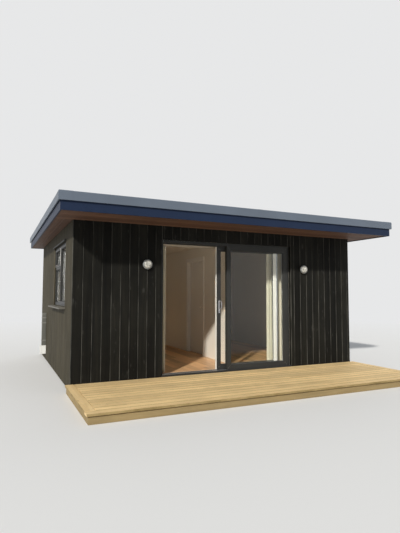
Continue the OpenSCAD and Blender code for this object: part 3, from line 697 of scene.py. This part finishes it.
def build_gutter():
    """Straps that carry the gutter, its unions, and clips on the downpipe."""
    dress("gutter", gutter_finish)
    low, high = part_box("gutter")
    radius, pipe_r, half_strap, strap_drop, half_union, half_stop, stop_in = mm(53, 34, 12, 55, 45, 28, 30)
    strap_reach, straps, union_x, pipe_in, clip_levels = 2.61, 7, 0.3, 0.41, (2.15, 1.25, 0.38)
    y, z = high.y - radius, high.z
    fascia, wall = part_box("fascia_back")[1].y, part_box("back_cladding")[1].y
    fittings = Shape()
    for x in spaced(-strap_reach, strap_reach, straps):
        a, b = x - half_strap, x + half_strap
        fittings.prism(band_round((y, z), radius, 0.4, 4, 180, 352), 0, a, b)
        fittings.box((a, fascia + 0.2 * MM, z - strap_drop), (b, y - radius, z))
    for x, half in ((union_x, half_union), (low.x + stop_in, half_stop), (high.x - stop_in, half_stop)):
        fittings.prism(band_round((y, z), radius, 0.3, 3, 181, 359), 0, x - half, x + half)
    pipe_x, clip_h, foot_y = high.x - pipe_in, 26 * MM, wall + 6 * MM
    for z in clip_levels:
        fittings.prism(band_round((pipe_x, wall + pipe_r), pipe_r, 0.3, 3.5, -50, 230), 2, z, z + clip_h)
        for side in (-1, 1):
            near, far, screw = (pipe_x + side * out for out in mm(26, 58, 47))
            fittings.box((near, wall, z), (far, foot_y, z + clip_h))
            screw_head(fittings, (screw, foot_y, z + clip_h / 2), (0, 1, 0), 3.6)
    fittings.piece("gutter_straps", gutter_finish, "gutter_plastic", 0.6, segments=1)


def build_deck():
    """Boards with a border at the front and both ends."""
    low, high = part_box("deck")
    board_w, gap, thick, butt, ease, least = mm(121, 5, 28, 0.8, 3.5, 20)
    pitch = board_w + gap
    under = high.z - thick
    boards, border = shapes(2)
    rows = []

    def plank(shape, axis, across, along, *outer):
        """A board along an axis with eased edges, which are marked to take a darker colour. outer marks a
        side face too, 0 the low one or 4 the high one, whose dark colour is painted shade."""
        shape.prism(board_outline(*across, high.z, under, ease, 0), axis, *along, tone(), (1, 3, *outer))

    plank(boards, 0, (low.y, low.y + board_w), (low.x, high.x), 0)
    y = low.y + pitch
    while y < high.y - least:
        end = min(y + board_w, high.y)
        split = low.x + pitch + (0.42 + 0.2 * rng.random()) * (high.x - low.x)
        for along in ((low.x + pitch, split - butt), (split + butt, high.x - pitch)):
            plank(boards, 0, (y, end), along)
        rows.append((y + end) / 2)
        y += pitch
    for x, outer in ((low.x, 0), (high.x - board_w, 4)):
        plank(border, 1, (x, x + board_w), (low.y + pitch, high.y), outer)
    boards.piece("deck_boards", deck_timber, "deck_timber", 1, replaces=["deck"])
    border.piece("deck_border_boards", border_timber, "deck_timber", 1)
    build_deck_frame(low, high, under, board_w / 2, rows)


def build_deck_frame(low, high, under, half_board, rows):
    """Joists, skirt boards set back below the boards' edges, and the screws that hold the boards."""
    over, skirt_t, shadow, joist, screw_off, first_row = mm(20, 20, 10, 47, 35, 62)
    inset, count = over + skirt_t, 13
    joists = spaced(low.x + inset, high.x - inset - joist, count)
    carcass, skirt, sides, screws = shapes(4)
    for x in joists:
        carcass.box((x, low.y + inset + joist, low.z), (x + joist, high.y - joist, under), tone())
    places = [(x + joist / 2, row + off) for x in joists[1:-1] for row in rows
              for off in (-screw_off, screw_off)]
    places += [(x + joist / 2, low.y + first_row)
               for x in spaced(joists[0], joists[-1], 2 * count - 1)[1:-1]]
    places += [(x, row) for x in (low.x + half_board, high.x - half_board) for row in rows]
    for place in places:
        screw_head(screws, (*place, high.z), (0, 0, 1))
    for y in (low.y + inset, high.y - joist):
        carcass.box((low.x + inset, y, low.z), (high.x - inset, y + joist, under), tone())
    top = under - shadow
    skirt.box((low.x + over, low.y + over, low.z), (high.x - over, low.y + inset, top), tone())
    for x in (low.x + over, high.x - inset):
        sides.box((x, low.y + inset + 0.3 * MM, low.z), (x + skirt_t, high.y, top), tone())
    carcass.piece("deck_joists", border_timber, "deck_timber", 1.5)
    skirt.piece("deck_skirt_front", skirt_timber_painted_shade[0], "deck_timber", 1.5)
    sides.piece("deck_skirt_sides", skirt_timber_painted_shade[1], "deck_timber", 1.5)
    screws.piece("deck_screws", steel_screw)


def build_floor():
    """Oak boards from front to back, with staggered ends."""
    low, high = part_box("floor_boards")
    board_w, chamfer, gap, least_w, least_length = mm(127, 1, 0.15, 5, 20)
    length = 1.22
    boards = Shape()
    x = low.x
    while x < high.x - least_w:
        y = low.y - rng.uniform(0.1, length)
        while y < high.y:
            near, far = max(y, low.y), min(y + length, high.y)
            if far - near > least_length:
                outline = board_outline(x, min(x + board_w, high.x), high.z, low.z, chamfer, gap)
                boards.prism(outline, 1, near + gap, far - gap, tone())
            y += length
        x += board_w
    boards.piece("oak_floor_boards", oak_floor, "oak_floor", replaces=["floor_boards"])


def build_room():
    """The inside's plain parts, and the inner door."""
    for node in ("front_wall_left", "front_wall_right", "front_wall_header", "left_wall", "right_wall",
                 "back_wall", "partition_front", "partition_back", "partition_header"):
        dress(node, wall_paint)
    dress("ceiling", ceiling_paint)
    dress("inner_door_lining", joinery_paint, 1.2)
    dress("base_frame", frame_timber, 2)
    dress("floor_panel", panel_board)
    dress("curtain_track", track_finish, 1.5)
    build_inner_door()


# Turned profiles of the inner door's fittings as (radius, distance) in millimetres.
KNUCKLE = [(0, 0), (6.2, 0), (6.2, 14.6), (0, 14.6)]
HINGE_CAP = [(0, 4), (3, 3.2), (4.6, 0.6), (5, -1), (0, -1)]
ROSE = [(0, 0), (26, 0), (26, 6), (24, 8), (13, 8), (11, 9.5), (9, 14), (9, 44), (0, 44)]
LEVER = [(0, -9), (6, -8), (9, -4), (9, 60), (8.4, 90), (7, 108), (4, 111.5), (0, 112)]


def build_inner_door():
    """The leaf, its hinges, and a lever on each face."""
    low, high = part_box("inner_door")
    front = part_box("partition_front")[1].x
    leaf_t, play, hinge_h, knuckle_h, plate_w, plate_t, margin = mm(35, 2.5, 76, 15.2, 34, 1.5, 3)
    pin_out, pin_in, lever_in, lever_out = mm(6, 4, 62, 42)
    lowest_hinge, highest_hinge, knuckles, lever_up = 0.2, 0.25, 5, 0.994
    back, near, far = front - leaf_t, low.y, high.y - play
    leaf, metal = shapes(2)
    leaf.box((back, near, low.z), (front, far, high.z))
    leaf.piece("inner_door_board", joinery_paint, "joinery", 1.5, "inner_door_leaf", ["inner_door"])
    pin = (front + pin_out, far - pin_in)
    for z in (low.z + lowest_hinge, (low.z + high.z) / 2, high.z - highest_hinge):
        for k in range(knuckles):
            metal.lathe(KNUCKLE, (*pin, z + k * knuckle_h), (0, 0, 1), 20)
        for end, way in ((z, -1), (z + hinge_h, 1)):
            metal.lathe(HINGE_CAP, (*pin, end), (0, 0, way), 16)
        metal.box((front, far - plate_w, z), (front + plate_t, far - margin, z + hinge_h))
    lever = (near + lever_in, low.z + lever_up)
    for face, side in ((front, 1), (back, -1)):
        metal.lathe(ROSE, (face, *lever), (side, 0, 0), 32)
        metal.lathe(LEVER, (face + side * lever_out, *lever), (0, 1, 0), 24)
    metal.piece("inner_door_fittings", chrome, "chrome_handle", 0.4, "inner_door_leaf", segments=1)


# Section of the patio door's sashes as (inward, depth) in millimetres: an outer face, a joint, a sloped
# bead, the rebate that holds the glass, and the same again on the inside.
SASH_T = 55
SASH = two_faced([(1.2, 0), (66, 0), (66.5, 1.4), (67.8, 1.4), (68.3, 0.3), (72, 0.8), (77, 2.6), (80.5, 5.2),
                  (82.5, 8.5), (82.5, 13.5), (80, 15.5), (71, 15.5)], SASH_T) + [(0, SASH_T - 1.2), (0, 1.2)]
SASH_OUTSIDE = [len(SASH) - 1, *range(10)]
SASH_EDGE = len(SASH) - 2
GASKET = [(80.2, 15.3), (80.6, 12.8), (82.0, 11.0), (83.6, 12.0), (84.8, 14.2), (85.0, 15.3)]
INTERLOCK = [(0, 0), (22, 0), (22, 2.4), (3.6, 2.4), (3.6, 7), (13, 7), (13, 8.8), (0, 8.8)]
BRUSH = [(3.6, 2.6), (8, 2.6), (7, 10.2), (4.6, 10.2)]


def add_gaskets(shape, profile, thickness, rect, face, axis):
    """Rubber round both faces of a pane."""
    for points in (profile, [(a, thickness - d) for a, d in profile]):
        shape.mitred(points, rect, face, axis, gap=0)


def sealed_units(node, axis, rects, body="pod"):
    """Double glazing in upright rectangles: two sheets, with a spacer round the edge."""
    low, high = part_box(node)
    near, far = low[1 - axis], high[1 - axis]
    sheet = 4 * MM
    gap = (far - near - 2 * sheet) / MM
    panes, spacers = shapes(2)
    for rect in rects:
        u0, z0, u1, z1 = rect
        for side in (near, far - sheet):
            panes.box(spot(axis, u0, side, z0), spot(axis, u1, side + sheet, z1))
        spacers.mitred([(2, 0), (14, 0), (14, gap), (2, gap)], rect, near + sheet, axis, gap=0)
    panes.piece(node + "_panes", glass_finish, "clear_glass", body=body, replaces=[node])
    spacers.piece(node + "_spacers", aluminium, body=body)


# Sections of the patio door's frame in millimetres.
FRAME_T, FRAME_W, FOOT_H = 132, 45, 28
JAMB = two_faced([(0, 0), (43.5, 0), (45, 1.5), (45, 59.5), (42, 59.5), (42, 62.5), (45, 62.5)], FRAME_T)
SILL = [(-54, 0), (-54, 4.5), (-52.5, 6), (-0.3, 13.8), (-0.3, 0)]
SILL_END = [(-54.5, 0), (-54.5, 7.5), (-0.4, 15.5), (-0.4, 0)]
OUTER_TRACK = [(2, 0), (2, 1), (3, 1.6), (60, 1.6), (61.5, 1), (61.5, 0)]
RAIL = [(-3.2, 0), (-1.6, 0.8), (-1.2, 2), (-2, 2.6), (-1, 3.2), (1, 3.2), (2, 2.6), (1.2, 2), (1.6, 0.8),
        (3.2, 0)]
COVER_STRIP = [(-28, 0), (-28, 7), (-26, 9), (9, 9), (11, 7), (11, 0)]


def cross_member(height, rib):
    """Section of the frame's head or threshold, with a rib between the tracks."""
    top, ease = height + rib, 1.5
    return [(0, 0), (FRAME_T, 0), (FRAME_T, height - ease), (FRAME_T - ease, height), (69, height),
            (69, top), (63, top), (63, height), (ease, height), (0, height - ease)]


def build_door_frame():
    """Jambs, head and threshold with their tracks, seals, sill and inner cover strips."""
    low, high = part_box("door_frame")
    face = high.y - FRAME_T * MM
    foot, head = low.z + FOOT_H * MM, high.z - FRAME_W * MM
    start, end = low.x + (FRAME_W + 0.15) * MM, high.x - (FRAME_W + 0.15) * MM
    seal_start, seal_end, seal_t, track_y = mm(42, 46.5, 2.4, 101.5)
    end_t, floor_gap, strip_drop = mm(3, 0.5, 11.3)
    members, seals, sill, metal, covers = shapes(5)
    for x, way in ((low.x, 1), (high.x, -1)):
        members.prism(section(JAMB, (x, face), (way, 1)), 2, low.z, high.z, marked=range(10))
        for y in mm(59.8, 69.8):
            seals.box((x + way * seal_start, face + y, foot), (x + way * seal_end, face + y + seal_t, head))
    for outline in (section(cross_member(FRAME_W, 14), (face, high.z), (1, -1)),
                    section(cross_member(FOOT_H, 8), (face, low.z))):
        members.prism(outline, 0, start, end, marked=range(5, 10))
    members.piece("door_frame_members", frame_plastic, "door_frame_plastic", 0.4, replaces=["door_frame"],
                  segments=1)
    rib_near, rib_far = mm(69.1, 71.6)
    for z, (under, over) in ((head, mm(-12, -3)), (foot, mm(1, 7))):
        seals.box((start, face + rib_near, z + under), (end, face + rib_far, z + over))
    seals.piece("door_frame_seals", seal_rubber)
    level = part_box("deck")[1].z
    sill.prism(section(SILL, (face, level)), 0, low.x, high.x)
    for x in (low.x, high.x - end_t):
        sill.prism(section(SILL_END, (face, level)), 0, x, x + end_t)
    sill.piece("door_frame_sill", dark_plastic, "door_frame_plastic", 0.5)
    metal.prism(section(OUTER_TRACK, (face, foot)), 0, start + 0.4 * MM,
                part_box("fixed_panel")[0].x - 1.5 * MM)
    metal.prism(section(RAIL, (face + track_y, foot)), 0, start, end)
    metal.piece("door_track_rails", aluminium)
    floor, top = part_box("floor_boards")[1].z + floor_gap, high.z - strip_drop
    for x, way in ((low.x, 1), (high.x, -1)):
        covers.prism(section(COVER_STRIP, (x, high.y), (way, 1)), 2, floor, top)
    covers.prism(section(swapped(COVER_STRIP), (high.y, high.z), (1, -1)), 0, low.x - 28 * MM,
                 high.x + 28 * MM)
    covers.piece("door_cover_strips", white_plastic, "track_plastic")


def build_panel(name, body, fixed):
    """A panel of the patio door: its sash, gaskets, glass, and the strip and brush where the panels meet."""
    panel, glass = name + "_panel", name + "_glass"
    low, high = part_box(panel)
    rect = upright(panel, 0)
    if fixed:
        face, way, inset, strip_finish = low.y, 1, 45 * MM, dark_plastic
        corner = (low.x, face + SASH_T * MM)
        marks = [SASH_OUTSIDE] * 3 + [[*SASH_OUTSIDE, SASH_EDGE]]
    else:
        face, way, inset, strip_finish = high.y - SASH_T * MM, -1, 40 * MM, aluminium
        corner = (high.x, face)
        marks = [SASH_OUTSIDE, [], SASH_OUTSIDE, SASH_OUTSIDE]
    sash, rubber, strip, brush = shapes(4)
    sash.mitred(SASH, rect, face, 0, marks)
    sash.piece(panel + "_sash", frame_plastic, "door_frame_plastic", body=body, replaces=[panel])
    add_gaskets(rubber, GASKET, SASH_T, rect, face, 0)
    rubber.piece(panel + "_gaskets", seal_rubber, body=body)
    sealed_units(glass, 0, [upright(glass, 0)], body)
    for shape, outline in ((strip, INTERLOCK), (brush, BRUSH)):
        shape.prism(section(outline, corner, (way, way)), 2, low.z + inset, high.z - inset)
    strip.piece(panel + "_interlock", strip_finish, "door_frame_plastic", body=body)
    brush.piece(panel + "_brush", seal_rubber, body=body)


def build_handle():
    """The pulls' finish, with screws and keyholes on their plates."""
    dress("sliding_handle", handle_metal, 0.4, 1)
    low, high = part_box("sliding_panel")
    grip_low, grip_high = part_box("sliding_handle")
    inset, screw_up, half_slot, slot_foot, slot_head, key_down = mm(46, 98, 1.2, 89, 79, 79.5)
    plate_t, lock_t, key_t, key_r = 7, 12.5, 0.8, 3
    x, z = low.x + inset, (grip_low.z + grip_high.z) / 2
    screws, keys = shapes(2)
    for y, way in ((high.y - SASH_T * MM, -1), (high.y, 1)):
        for up in (-screw_up, screw_up):
            screw_head(screws, (x, y + way * plate_t * MM, z + up), (0, way, 0), 4, 0.5)
        near, far = y + way * lock_t * MM, y + way * (lock_t + key_t) * MM
        keys.box((x - half_slot, near, z - slot_foot), (x + half_slot, far, z - slot_head))
        keys.lathe([(0, lock_t + key_t), (key_r, lock_t + key_t), (key_r, lock_t), (0, lock_t)],
                   (x, y, z - key_down), (0, way, 0), 16)
    screws.piece("handle_screws", steel_screw, body="sliding_door")
    keys.piece("handle_keyholes", seal_rubber, body="sliding_door")


# Sections of the window in millimetres, as (inward, depth) but for the bar, which is (across, depth): the
# frame, the bar that is its mullion and transom, an opening sash that laps over it, the bead of the fixed
# light, and the seals.
WIN_T = 70
WIN_RING = [(1, 0), (49, 0), (50, 1), (50, 12), (50, 69), (49, WIN_T), (1, WIN_T), (0, 69), (0, 1)]
WIN_BAR = [(-31, 12), (-31, 1), (-30, 0), (30, 0), (31, 1), (31, 12), (31, 69), (30, WIN_T), (-30, WIN_T),
           (-31, 69)]
WIN_SASH = [(1.4, -14), (26, -14), (26.5, -12.6), (28, -12.6), (28.5, -13.6), (32, -12.8), (36.5, -9),
            (39, -3.5), (40.5, 2), (40.5, 25), (38.5, 28), (32, 28), (32, 52), (38.5, 52), (40.5, 54),
            (40.5, 68.5), (39, WIN_T), (11, WIN_T), (9.6, 68.5), (9.6, -1.6), (1.4, -1.6), (0, -3),
            (0, -12.6)]
WIN_BEAD = [(0.3, 10.6), (7, 10), (11, 11.5), (13.5, 15), (14, 25), (12, 28), (5.5, 28), (5.5, 52), (12, 52),
            (14, 54), (14, 68.5), (12.6, WIN_T), (0.3, WIN_T)]
LAP_SEAL = [(2, -1.5), (9.2, -1.5), (9.2, -0.1), (2, -0.1)]
SASH_GASKET = [(38.6, 27.8), (39, 25.5), (40.6, 24), (42.2, 25), (43, 27.8)]
BEAD_GASKET = [(12.1, 27.8), (12.5, 25.5), (14, 24), (15.6, 25), (16.4, 27.8)]


def grown(rect, by):
    """An upright rectangle made larger on each side, in millimetres."""
    return tuple(edge + way * by * MM for edge, way in zip(rect, (-1, -1, 1, 1)))


def build_window():
    """Frame, mullion and transom, two opening sashes and one fixed light, with their glass and seals."""
    low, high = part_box("window_frame")
    lap, member, half, top_h, glass_t = 14 * MM, 50 * MM, 31 * MM, 375 * MM, 80
    sash_lap, sash_cover, bead_cover = 9, 24, 6
    face, mid, transom = low.x + lap, (low.y + high.y) / 2, high.z - top_h
    foot, head, near, far = low.z + member, high.z - member, mid + half, high.y - member
    front_light = (low.y + member, foot, mid - half, head)
    top_light = (near, transom + half, far, head)
    fixed_light = (near, foot, far, transom - half)
    members, rubber = shapes(2)
    members.mitred(WIN_RING, upright("window_frame", 1), face, 1, [(0, 1, 2, 8)])
    members.prism(swapped(section(WIN_BAR, (mid, face))), 2, foot, head, marked=range(5))
    members.prism(swapped(section(WIN_BAR, (transom, face))), 1, near, far, marked=range(5))
    for light in (front_light, top_light):
        rect = grown(light, sash_lap)
        members.mitred(WIN_SASH, rect, face, 1, [(len(WIN_SASH) - 1, *range(9))])
        rubber.mitred(LAP_SEAL, rect, face, 1, gap=0)
        add_gaskets(rubber, SASH_GASKET, glass_t, rect, face, 1)
    members.mitred(WIN_BEAD, fixed_light, face, 1, [range(5)])
    add_gaskets(rubber, BEAD_GASKET, glass_t, fixed_light, face, 1)
    members.piece("window_frame_members", frame_plastic, "window_plastic", replaces=["window_frame"])
    rubber.piece("window_gaskets", seal_rubber)
    sealed_units("window_glass", 1, [grown(front_light, -sash_cover), grown(top_light, -sash_cover),
                                     grown(fixed_light, -bead_cover)])
    build_window_handles(high.x, half + 16 * MM, mid, transom, front_light, top_light)
    build_window_trims(low, high)


def build_window_handles(back, off, mid, transom, front_light, top_light):
    """A plate with a lever on each opening sash. It points down, or along Y on the top light."""
    handles = Shape()
    for y, z, sideways in ((mid - off, (front_light[1] + front_light[3]) / 2, False),
                           ((top_light[0] + top_light[2]) / 2, transom + off, True)):
        for corners in (((0, -13, -38), (7, 13, 38)), ((7, -9, -9), (24, 9, 9)),
                        ((24, -8, -104), (36, 8, 12))):
            handles.box(*((back + depth * MM, y + (up if sideways else across) * MM,
                           z + (across if sideways else up) * MM) for depth, across, up in corners))
    handles.piece("window_handles", white_plastic, "track_plastic", 1.2)


def build_window_trims(low, high):
    """The outer sill, a drip strip over the head, and the linings and board of the inner reveal."""
    dress("window_sill", sill_finish, 2)
    outer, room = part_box("left_cladding")[0].x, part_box("left_wall")[1].x
    drip, linings, board = shapes(3)
    drip.prism(section([(12, 22), (-30, 10), (-30, -4), (-26, -4), (-26, 4), (12, 4)], (outer, high.z)), 1,
               low.y - 30 * MM, high.y + 30 * MM)
    drip.piece("window_head_drip", dark_plastic, "window_plastic", 0.8)
    lining_t, board_t, reach, horn, play = mm(10, 22, 28, 35, 0.5)
    board_z, nose = low.z + board_t, room + reach
    for y0, y1, z in ((low.y, low.y + lining_t, board_z), (high.y - lining_t, high.y, board_z),
                      (low.y + lining_t, high.y - lining_t, high.z - lining_t)):
        linings.box((high.x + 0.4 * MM, y0, z), (room + 0.2 * MM, y1, high.z))
    linings.piece("window_linings", joinery_paint, "joinery", 1)
    inner = (high.x + play - nose) / MM
    outline = [(inner, 0.5), (-4, 0.5), (0, 4.5), (0, 18), (-4, 22), (inner, 22)]
    board.prism(section(outline, (nose, low.z)), 1, low.y + play, high.y - play)
    for y0, y1 in ((low.y - horn, low.y), (high.y, high.y + horn)):
        board.box((room + 0.4 * MM, y0, low.z + play), (nose, y1, board_z))
    board.piece("window_board", joinery_paint, "joinery", 1)


def cloth(name, rows, thickness):
    """A sheet of cloth from rows of points, with a thickness in millimetres."""
    mesh = bpy.data.meshes.new(name)
    across = len(rows[0])
    starts = [j * across + i for j in range(len(rows) - 1) for i in range(across - 1)]
    mesh.from_pydata([p for row in rows for p in row], [],
                     [(a, a + 1, a + across + 1, a + across) for a in starts])
    mesh.materials.append(curtain_cloth)
    mesh.shade_smooth()
    made = added(name, mesh)
    thick = made.modifiers.new("thickness", "SOLIDIFY")
    thick.thickness = thickness * MM
    thick.offset = 0
    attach(made, "pod")
    return made


def build_curtain(side):
    """A curtain drawn back to the end of its rail, in deep uneven folds under a gathered heading, with a
    hem, a tape and gliders."""
    node = "curtain_" + side
    low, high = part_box(node)
    folds, per_fold = 8, 16
    margin, drop, stray, lean = mm(7, 2, 5, 2.5)
    room = high.x - low.x - 2 * margin
    mid, deep = (low.y + high.y) / 2, (high.y - low.y) / 2 - 5 * MM
    widths = [rng.uniform(0.75, 1.3) for _ in range(folds)]
    widths = [w * room / sum(widths) for w in widths]
    depths = [rng.uniform(0.8, 1.0) for _ in range(folds + 1)]
    sways = [rng.uniform(-1, 1) for _ in range(folds + 1)]

    def point(column, down, out=0.0):
        """A point of the cloth. down runs from 0 at the heading to 1 at the hem."""
        fold = min(column // per_fold, folds - 1)
        t = column / per_fold - fold
        blend = t * t * (3 - 2 * t)
        depth, sway = (values[fold] * (1 - blend) + values[fold + 1] * blend for values in (depths, sways))
        turn = 2 * pi * t
        swell = 0.66 + 0.34 * min(1.0, down * 4) ** 0.6
        wave = tanh(1.5 * cos(turn)) / tanh(1.5)
        x = low.x + margin + sum(widths[:fold]) + widths[fold] * (t - 0.10 * swell * sin(2 * turn))
        x += sway * down * stray * sin(pi * column / (folds * per_fold))
        y = mid + (deep * depth * swell + out) * wave + sway * down * lean
        return (x, y, high.z - drop - down * (high.z - low.z - drop))

    columns = range(folds * per_fold + 1)

    def part(name, levels, out, thickness):
        return cloth(f"{node}_{name}", [[point(c, down, out) for c in columns] for down in levels], thickness)

    curtain = part("gathered", spaced(0, 1, 49), 0.0, 1.4)
    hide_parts(node)
    hem = part("hem", (0.955, 0.96, 0.98, 1.0), 1.2 * MM, 1.8)
    tape = part("tape", (0.004, 0.012, 0.034), 1.2 * MM, 1.6)
    gliders = Shape()
    for fold in range(folds):
        x, y, z = point(fold * per_fold + per_fold // 4, 0.0)
        gliders.box((x - 2 * MM, mid - 3 * MM, z - 12 * MM), (x + 2 * MM, mid + 3 * MM, z + 7 * MM))
    hooks = gliders.piece(node + "_gliders", white_plastic, "track_plastic", 0.8)
    run = sum(dist(point(c, 0.5), point(c + 1, 0.5)) for c in columns[:-1])


# Turned profiles of the wall lights as (radius, distance from the wall) in millimetres.
LIGHT_BASE = [(0, 0), (66, 0), (68, 2), (68, 22), (66, 24), (0, 24)]
LIGHT_SEAL = [(60, 24), (71, 24), (73, 25.5), (71, 27), (60, 27)]
LIGHT_RIM = [(56, 27), (74, 27), (76, 29), (76, 40), (74.5, 44), (70, 47.5), (64, 49.5), (61.5, 49),
             (60.5, 46), (56, 46)]
LUG = [(0, 0), (8.3, 0), (8.3, 8.5), (6.8, 10.5), (0, 10.5)]


def ribbed_dome(ridges=24, r=60.2, foot=46, rise=35.5, relief=1.1):
    """Profile of the lens, whose ridges fade towards its foot and its crown."""
    dome = [(0, foot - 1), (r, foot - 1)]
    for i in range(ridges):
        t = i / ridges
        ridge = relief * (1 if i % 2 else -1) * min(1, (1 - t) * 5) * min(1, t * 8)
        dome.append((r * cos(t * pi / 2), foot + rise * sin(t * pi / 2) ** 0.8 + ridge))
    return dome + [(0, foot + rise)]


def build_lights():
    """A bulkhead light on each side of the door: a base, a seal, a rim with lugs, and a ribbed lens."""
    out, lug_r, lug_y, lug_h = (0, -1, 0), *mm(67.5, 40, 10.5)
    for side in ("left", "right"):
        node = "wall_light_" + side
        low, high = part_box(node)
        x, y, z = (low.x + high.x) / 2, high.y, (low.z + high.z) / 2
        base, rim, dark, lens = shapes(4)
        for shape, profile, steps in ((base, LIGHT_BASE, 64), (dark, LIGHT_SEAL, 64), (rim, LIGHT_RIM, 72),
                                      (lens, ribbed_dome(), 64)):
            shape.lathe(profile, (x, y, z), out, steps)
        for lug_x, lug_z in circle((x, z), lug_r, 90, 330, 2):
            rim.lathe(LUG, (lug_x, y - lug_y, lug_z), out, 24)
            screw_head(dark, (lug_x, y - lug_y - lug_h, lug_z), out, 4.4, 0.4)
        rim.piece(node + "_rim", rim_finish, "light_body", 0.5, replaces=[node], segments=1)
        base.piece(node + "_base", dark_plastic)
        dark.piece(node + "_seal", seal_rubber)
        lens.piece(node + "_lens", lens_finish, smooth=True)


def build_duct():
    """An upright duct: a back channel, a rounded cover with clips, and a box with a lid at its foot."""
    low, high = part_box("service_duct")
    wall, mid = high.x, (low.y + high.y) / 2
    box_h, crown, half_clip, box_deep, half_box, lid_deep, screw_in = mm(175, 46, 13, 92, 64, 93.5, 14)
    foot, head = low.z + box_h, high.z - crown
    channel, cover, clips, box, lid, screws = shapes(6)
    for shape, r, gap, front, back in ((channel, *mm(46, 0, 12, 0)), (cover, *mm(44.5, 0.5, 84, 13.5))):
        outline = circle((mid, head), r, 0, 180, 20) + [(mid - r, foot + gap), (mid + r, foot + gap)]
        shape.prism(outline, 0, wall - front, wall - back)
    wrap = [(0, -49), (-87, -49), (-87, 49), (0, 49), (0, 46.2), (-84.5, 46.2), (-84.5, -46.2), (0, -46.2)]
    for z in (0.787, 0.893, 0.42):
        clips.prism(section(wrap, (wall, mid)), 2, z - half_clip, z + half_clip)
    box.box((wall - box_deep, mid - half_box, low.z), (wall, mid + half_box, foot - 0.5 * MM))
    lid.box(low, (wall - lid_deep, high.y, foot - 1 * MM))
    for y in (low.y + screw_in, high.y - screw_in):
        for z in (low.z + screw_in, foot - 1 * MM - screw_in):
            screw_head(screws, (low.x, y, z), (-1, 0, 0), 4.6, 0.2)
    channel.piece("service_duct_channel", duct_finish, "duct_plastic", 1, replaces=["service_duct"])
    cover.piece("service_duct_cover", duct_finish, "duct_plastic", 5, segments=3)
    clips.piece("service_duct_clips", clip_finish, "duct_plastic", 1)
    box.piece("service_box", white_plastic, "duct_plastic", 3)
    lid.piece("service_box_lid", white_plastic, "duct_plastic", 4, segments=3)
    screws.piece("service_box_screws", steel_screw)


PALE = (0.80, 0.805, 0.81)
SEEN = ("Camera", "Glossy", "Transmission")


def build_stage():
    """A pale floor that keeps the shadows near the building and fades into the backdrop's colour."""
    reach, drop, fade_start, fade_end = 400, 2 * MM, 7.0, 17.0
    mesh = bpy.data.meshes.new("studio_floor")
    corners = ((-1, -1), (1, -1), (1, 1), (-1, 1))
    mesh.from_pydata([(x * reach, y * reach, -drop) for x, y in corners], [], [(0, 1, 2, 3)])
    f = Finish("studio_floor_pale", Base_Color=(0.79, 0.795, 0.80), Roughness=0.95, **DULL)
    away = f.node("VectorMath", {0: f.coords()}, operation="LENGTH").outputs["Value"]
    fade = f.math("MULTIPLY", f.band(away, 0.0, 1.0, fade_start, fade_end), f.rays(*SEEN))
    f.give_way(fade, f.node("Emission", {"Color": PALE}))
    mesh.materials.append(f.material)
    added("studio_floor", mesh)


def soft_sun(name, azimuth, elevation, strength, spread, colour):
    """A sun lamp. Azimuth 0 shines from the front, and it grows towards the building's right."""
    data = bpy.data.lights.new(name, "SUN")
    data.energy = strength
    data.angle = radians(spread)
    data.color = colour
    added(name, data).rotation_euler = (radians(90 - elevation), 0, radians(azimuth))


def light_scene():
    """A low warm key from the left, two weak lamps, and a pale backdrop that only some rays see."""
    soft_sun("key", -43, 31, 3.6, 3, (1.0, 0.965, 0.90))
    soft_sun("fill", 60, 30, 0.2, 60, (0.95, 0.97, 1.0))
    soft_sun("back", 160, 45, 0.5, 50, (0.97, 0.98, 1.0))
    world = bpy.data.worlds.new("studio")
    world.use_nodes = True
    studio = Nodes(world.node_tree, "Background", "World Output", Color=(0.90, 0.95, 1.0), Strength=0.26)
    studio.give_way(studio.rays(*SEEN), studio.node("Background", {"Color": PALE}))
    scene.world = world
    scene.view_settings.view_transform = "Standard"


build_cladding()
build_roof()
build_gutter()
build_deck()
build_floor()
build_room()
build_door_frame()
build_panel("fixed", "pod", True)
build_panel("sliding", "sliding_door", False)
build_handle()
build_window()
for side in ("left", "right"):
    build_curtain(side)
build_lights()
build_duct()
build_stage()
light_scene()
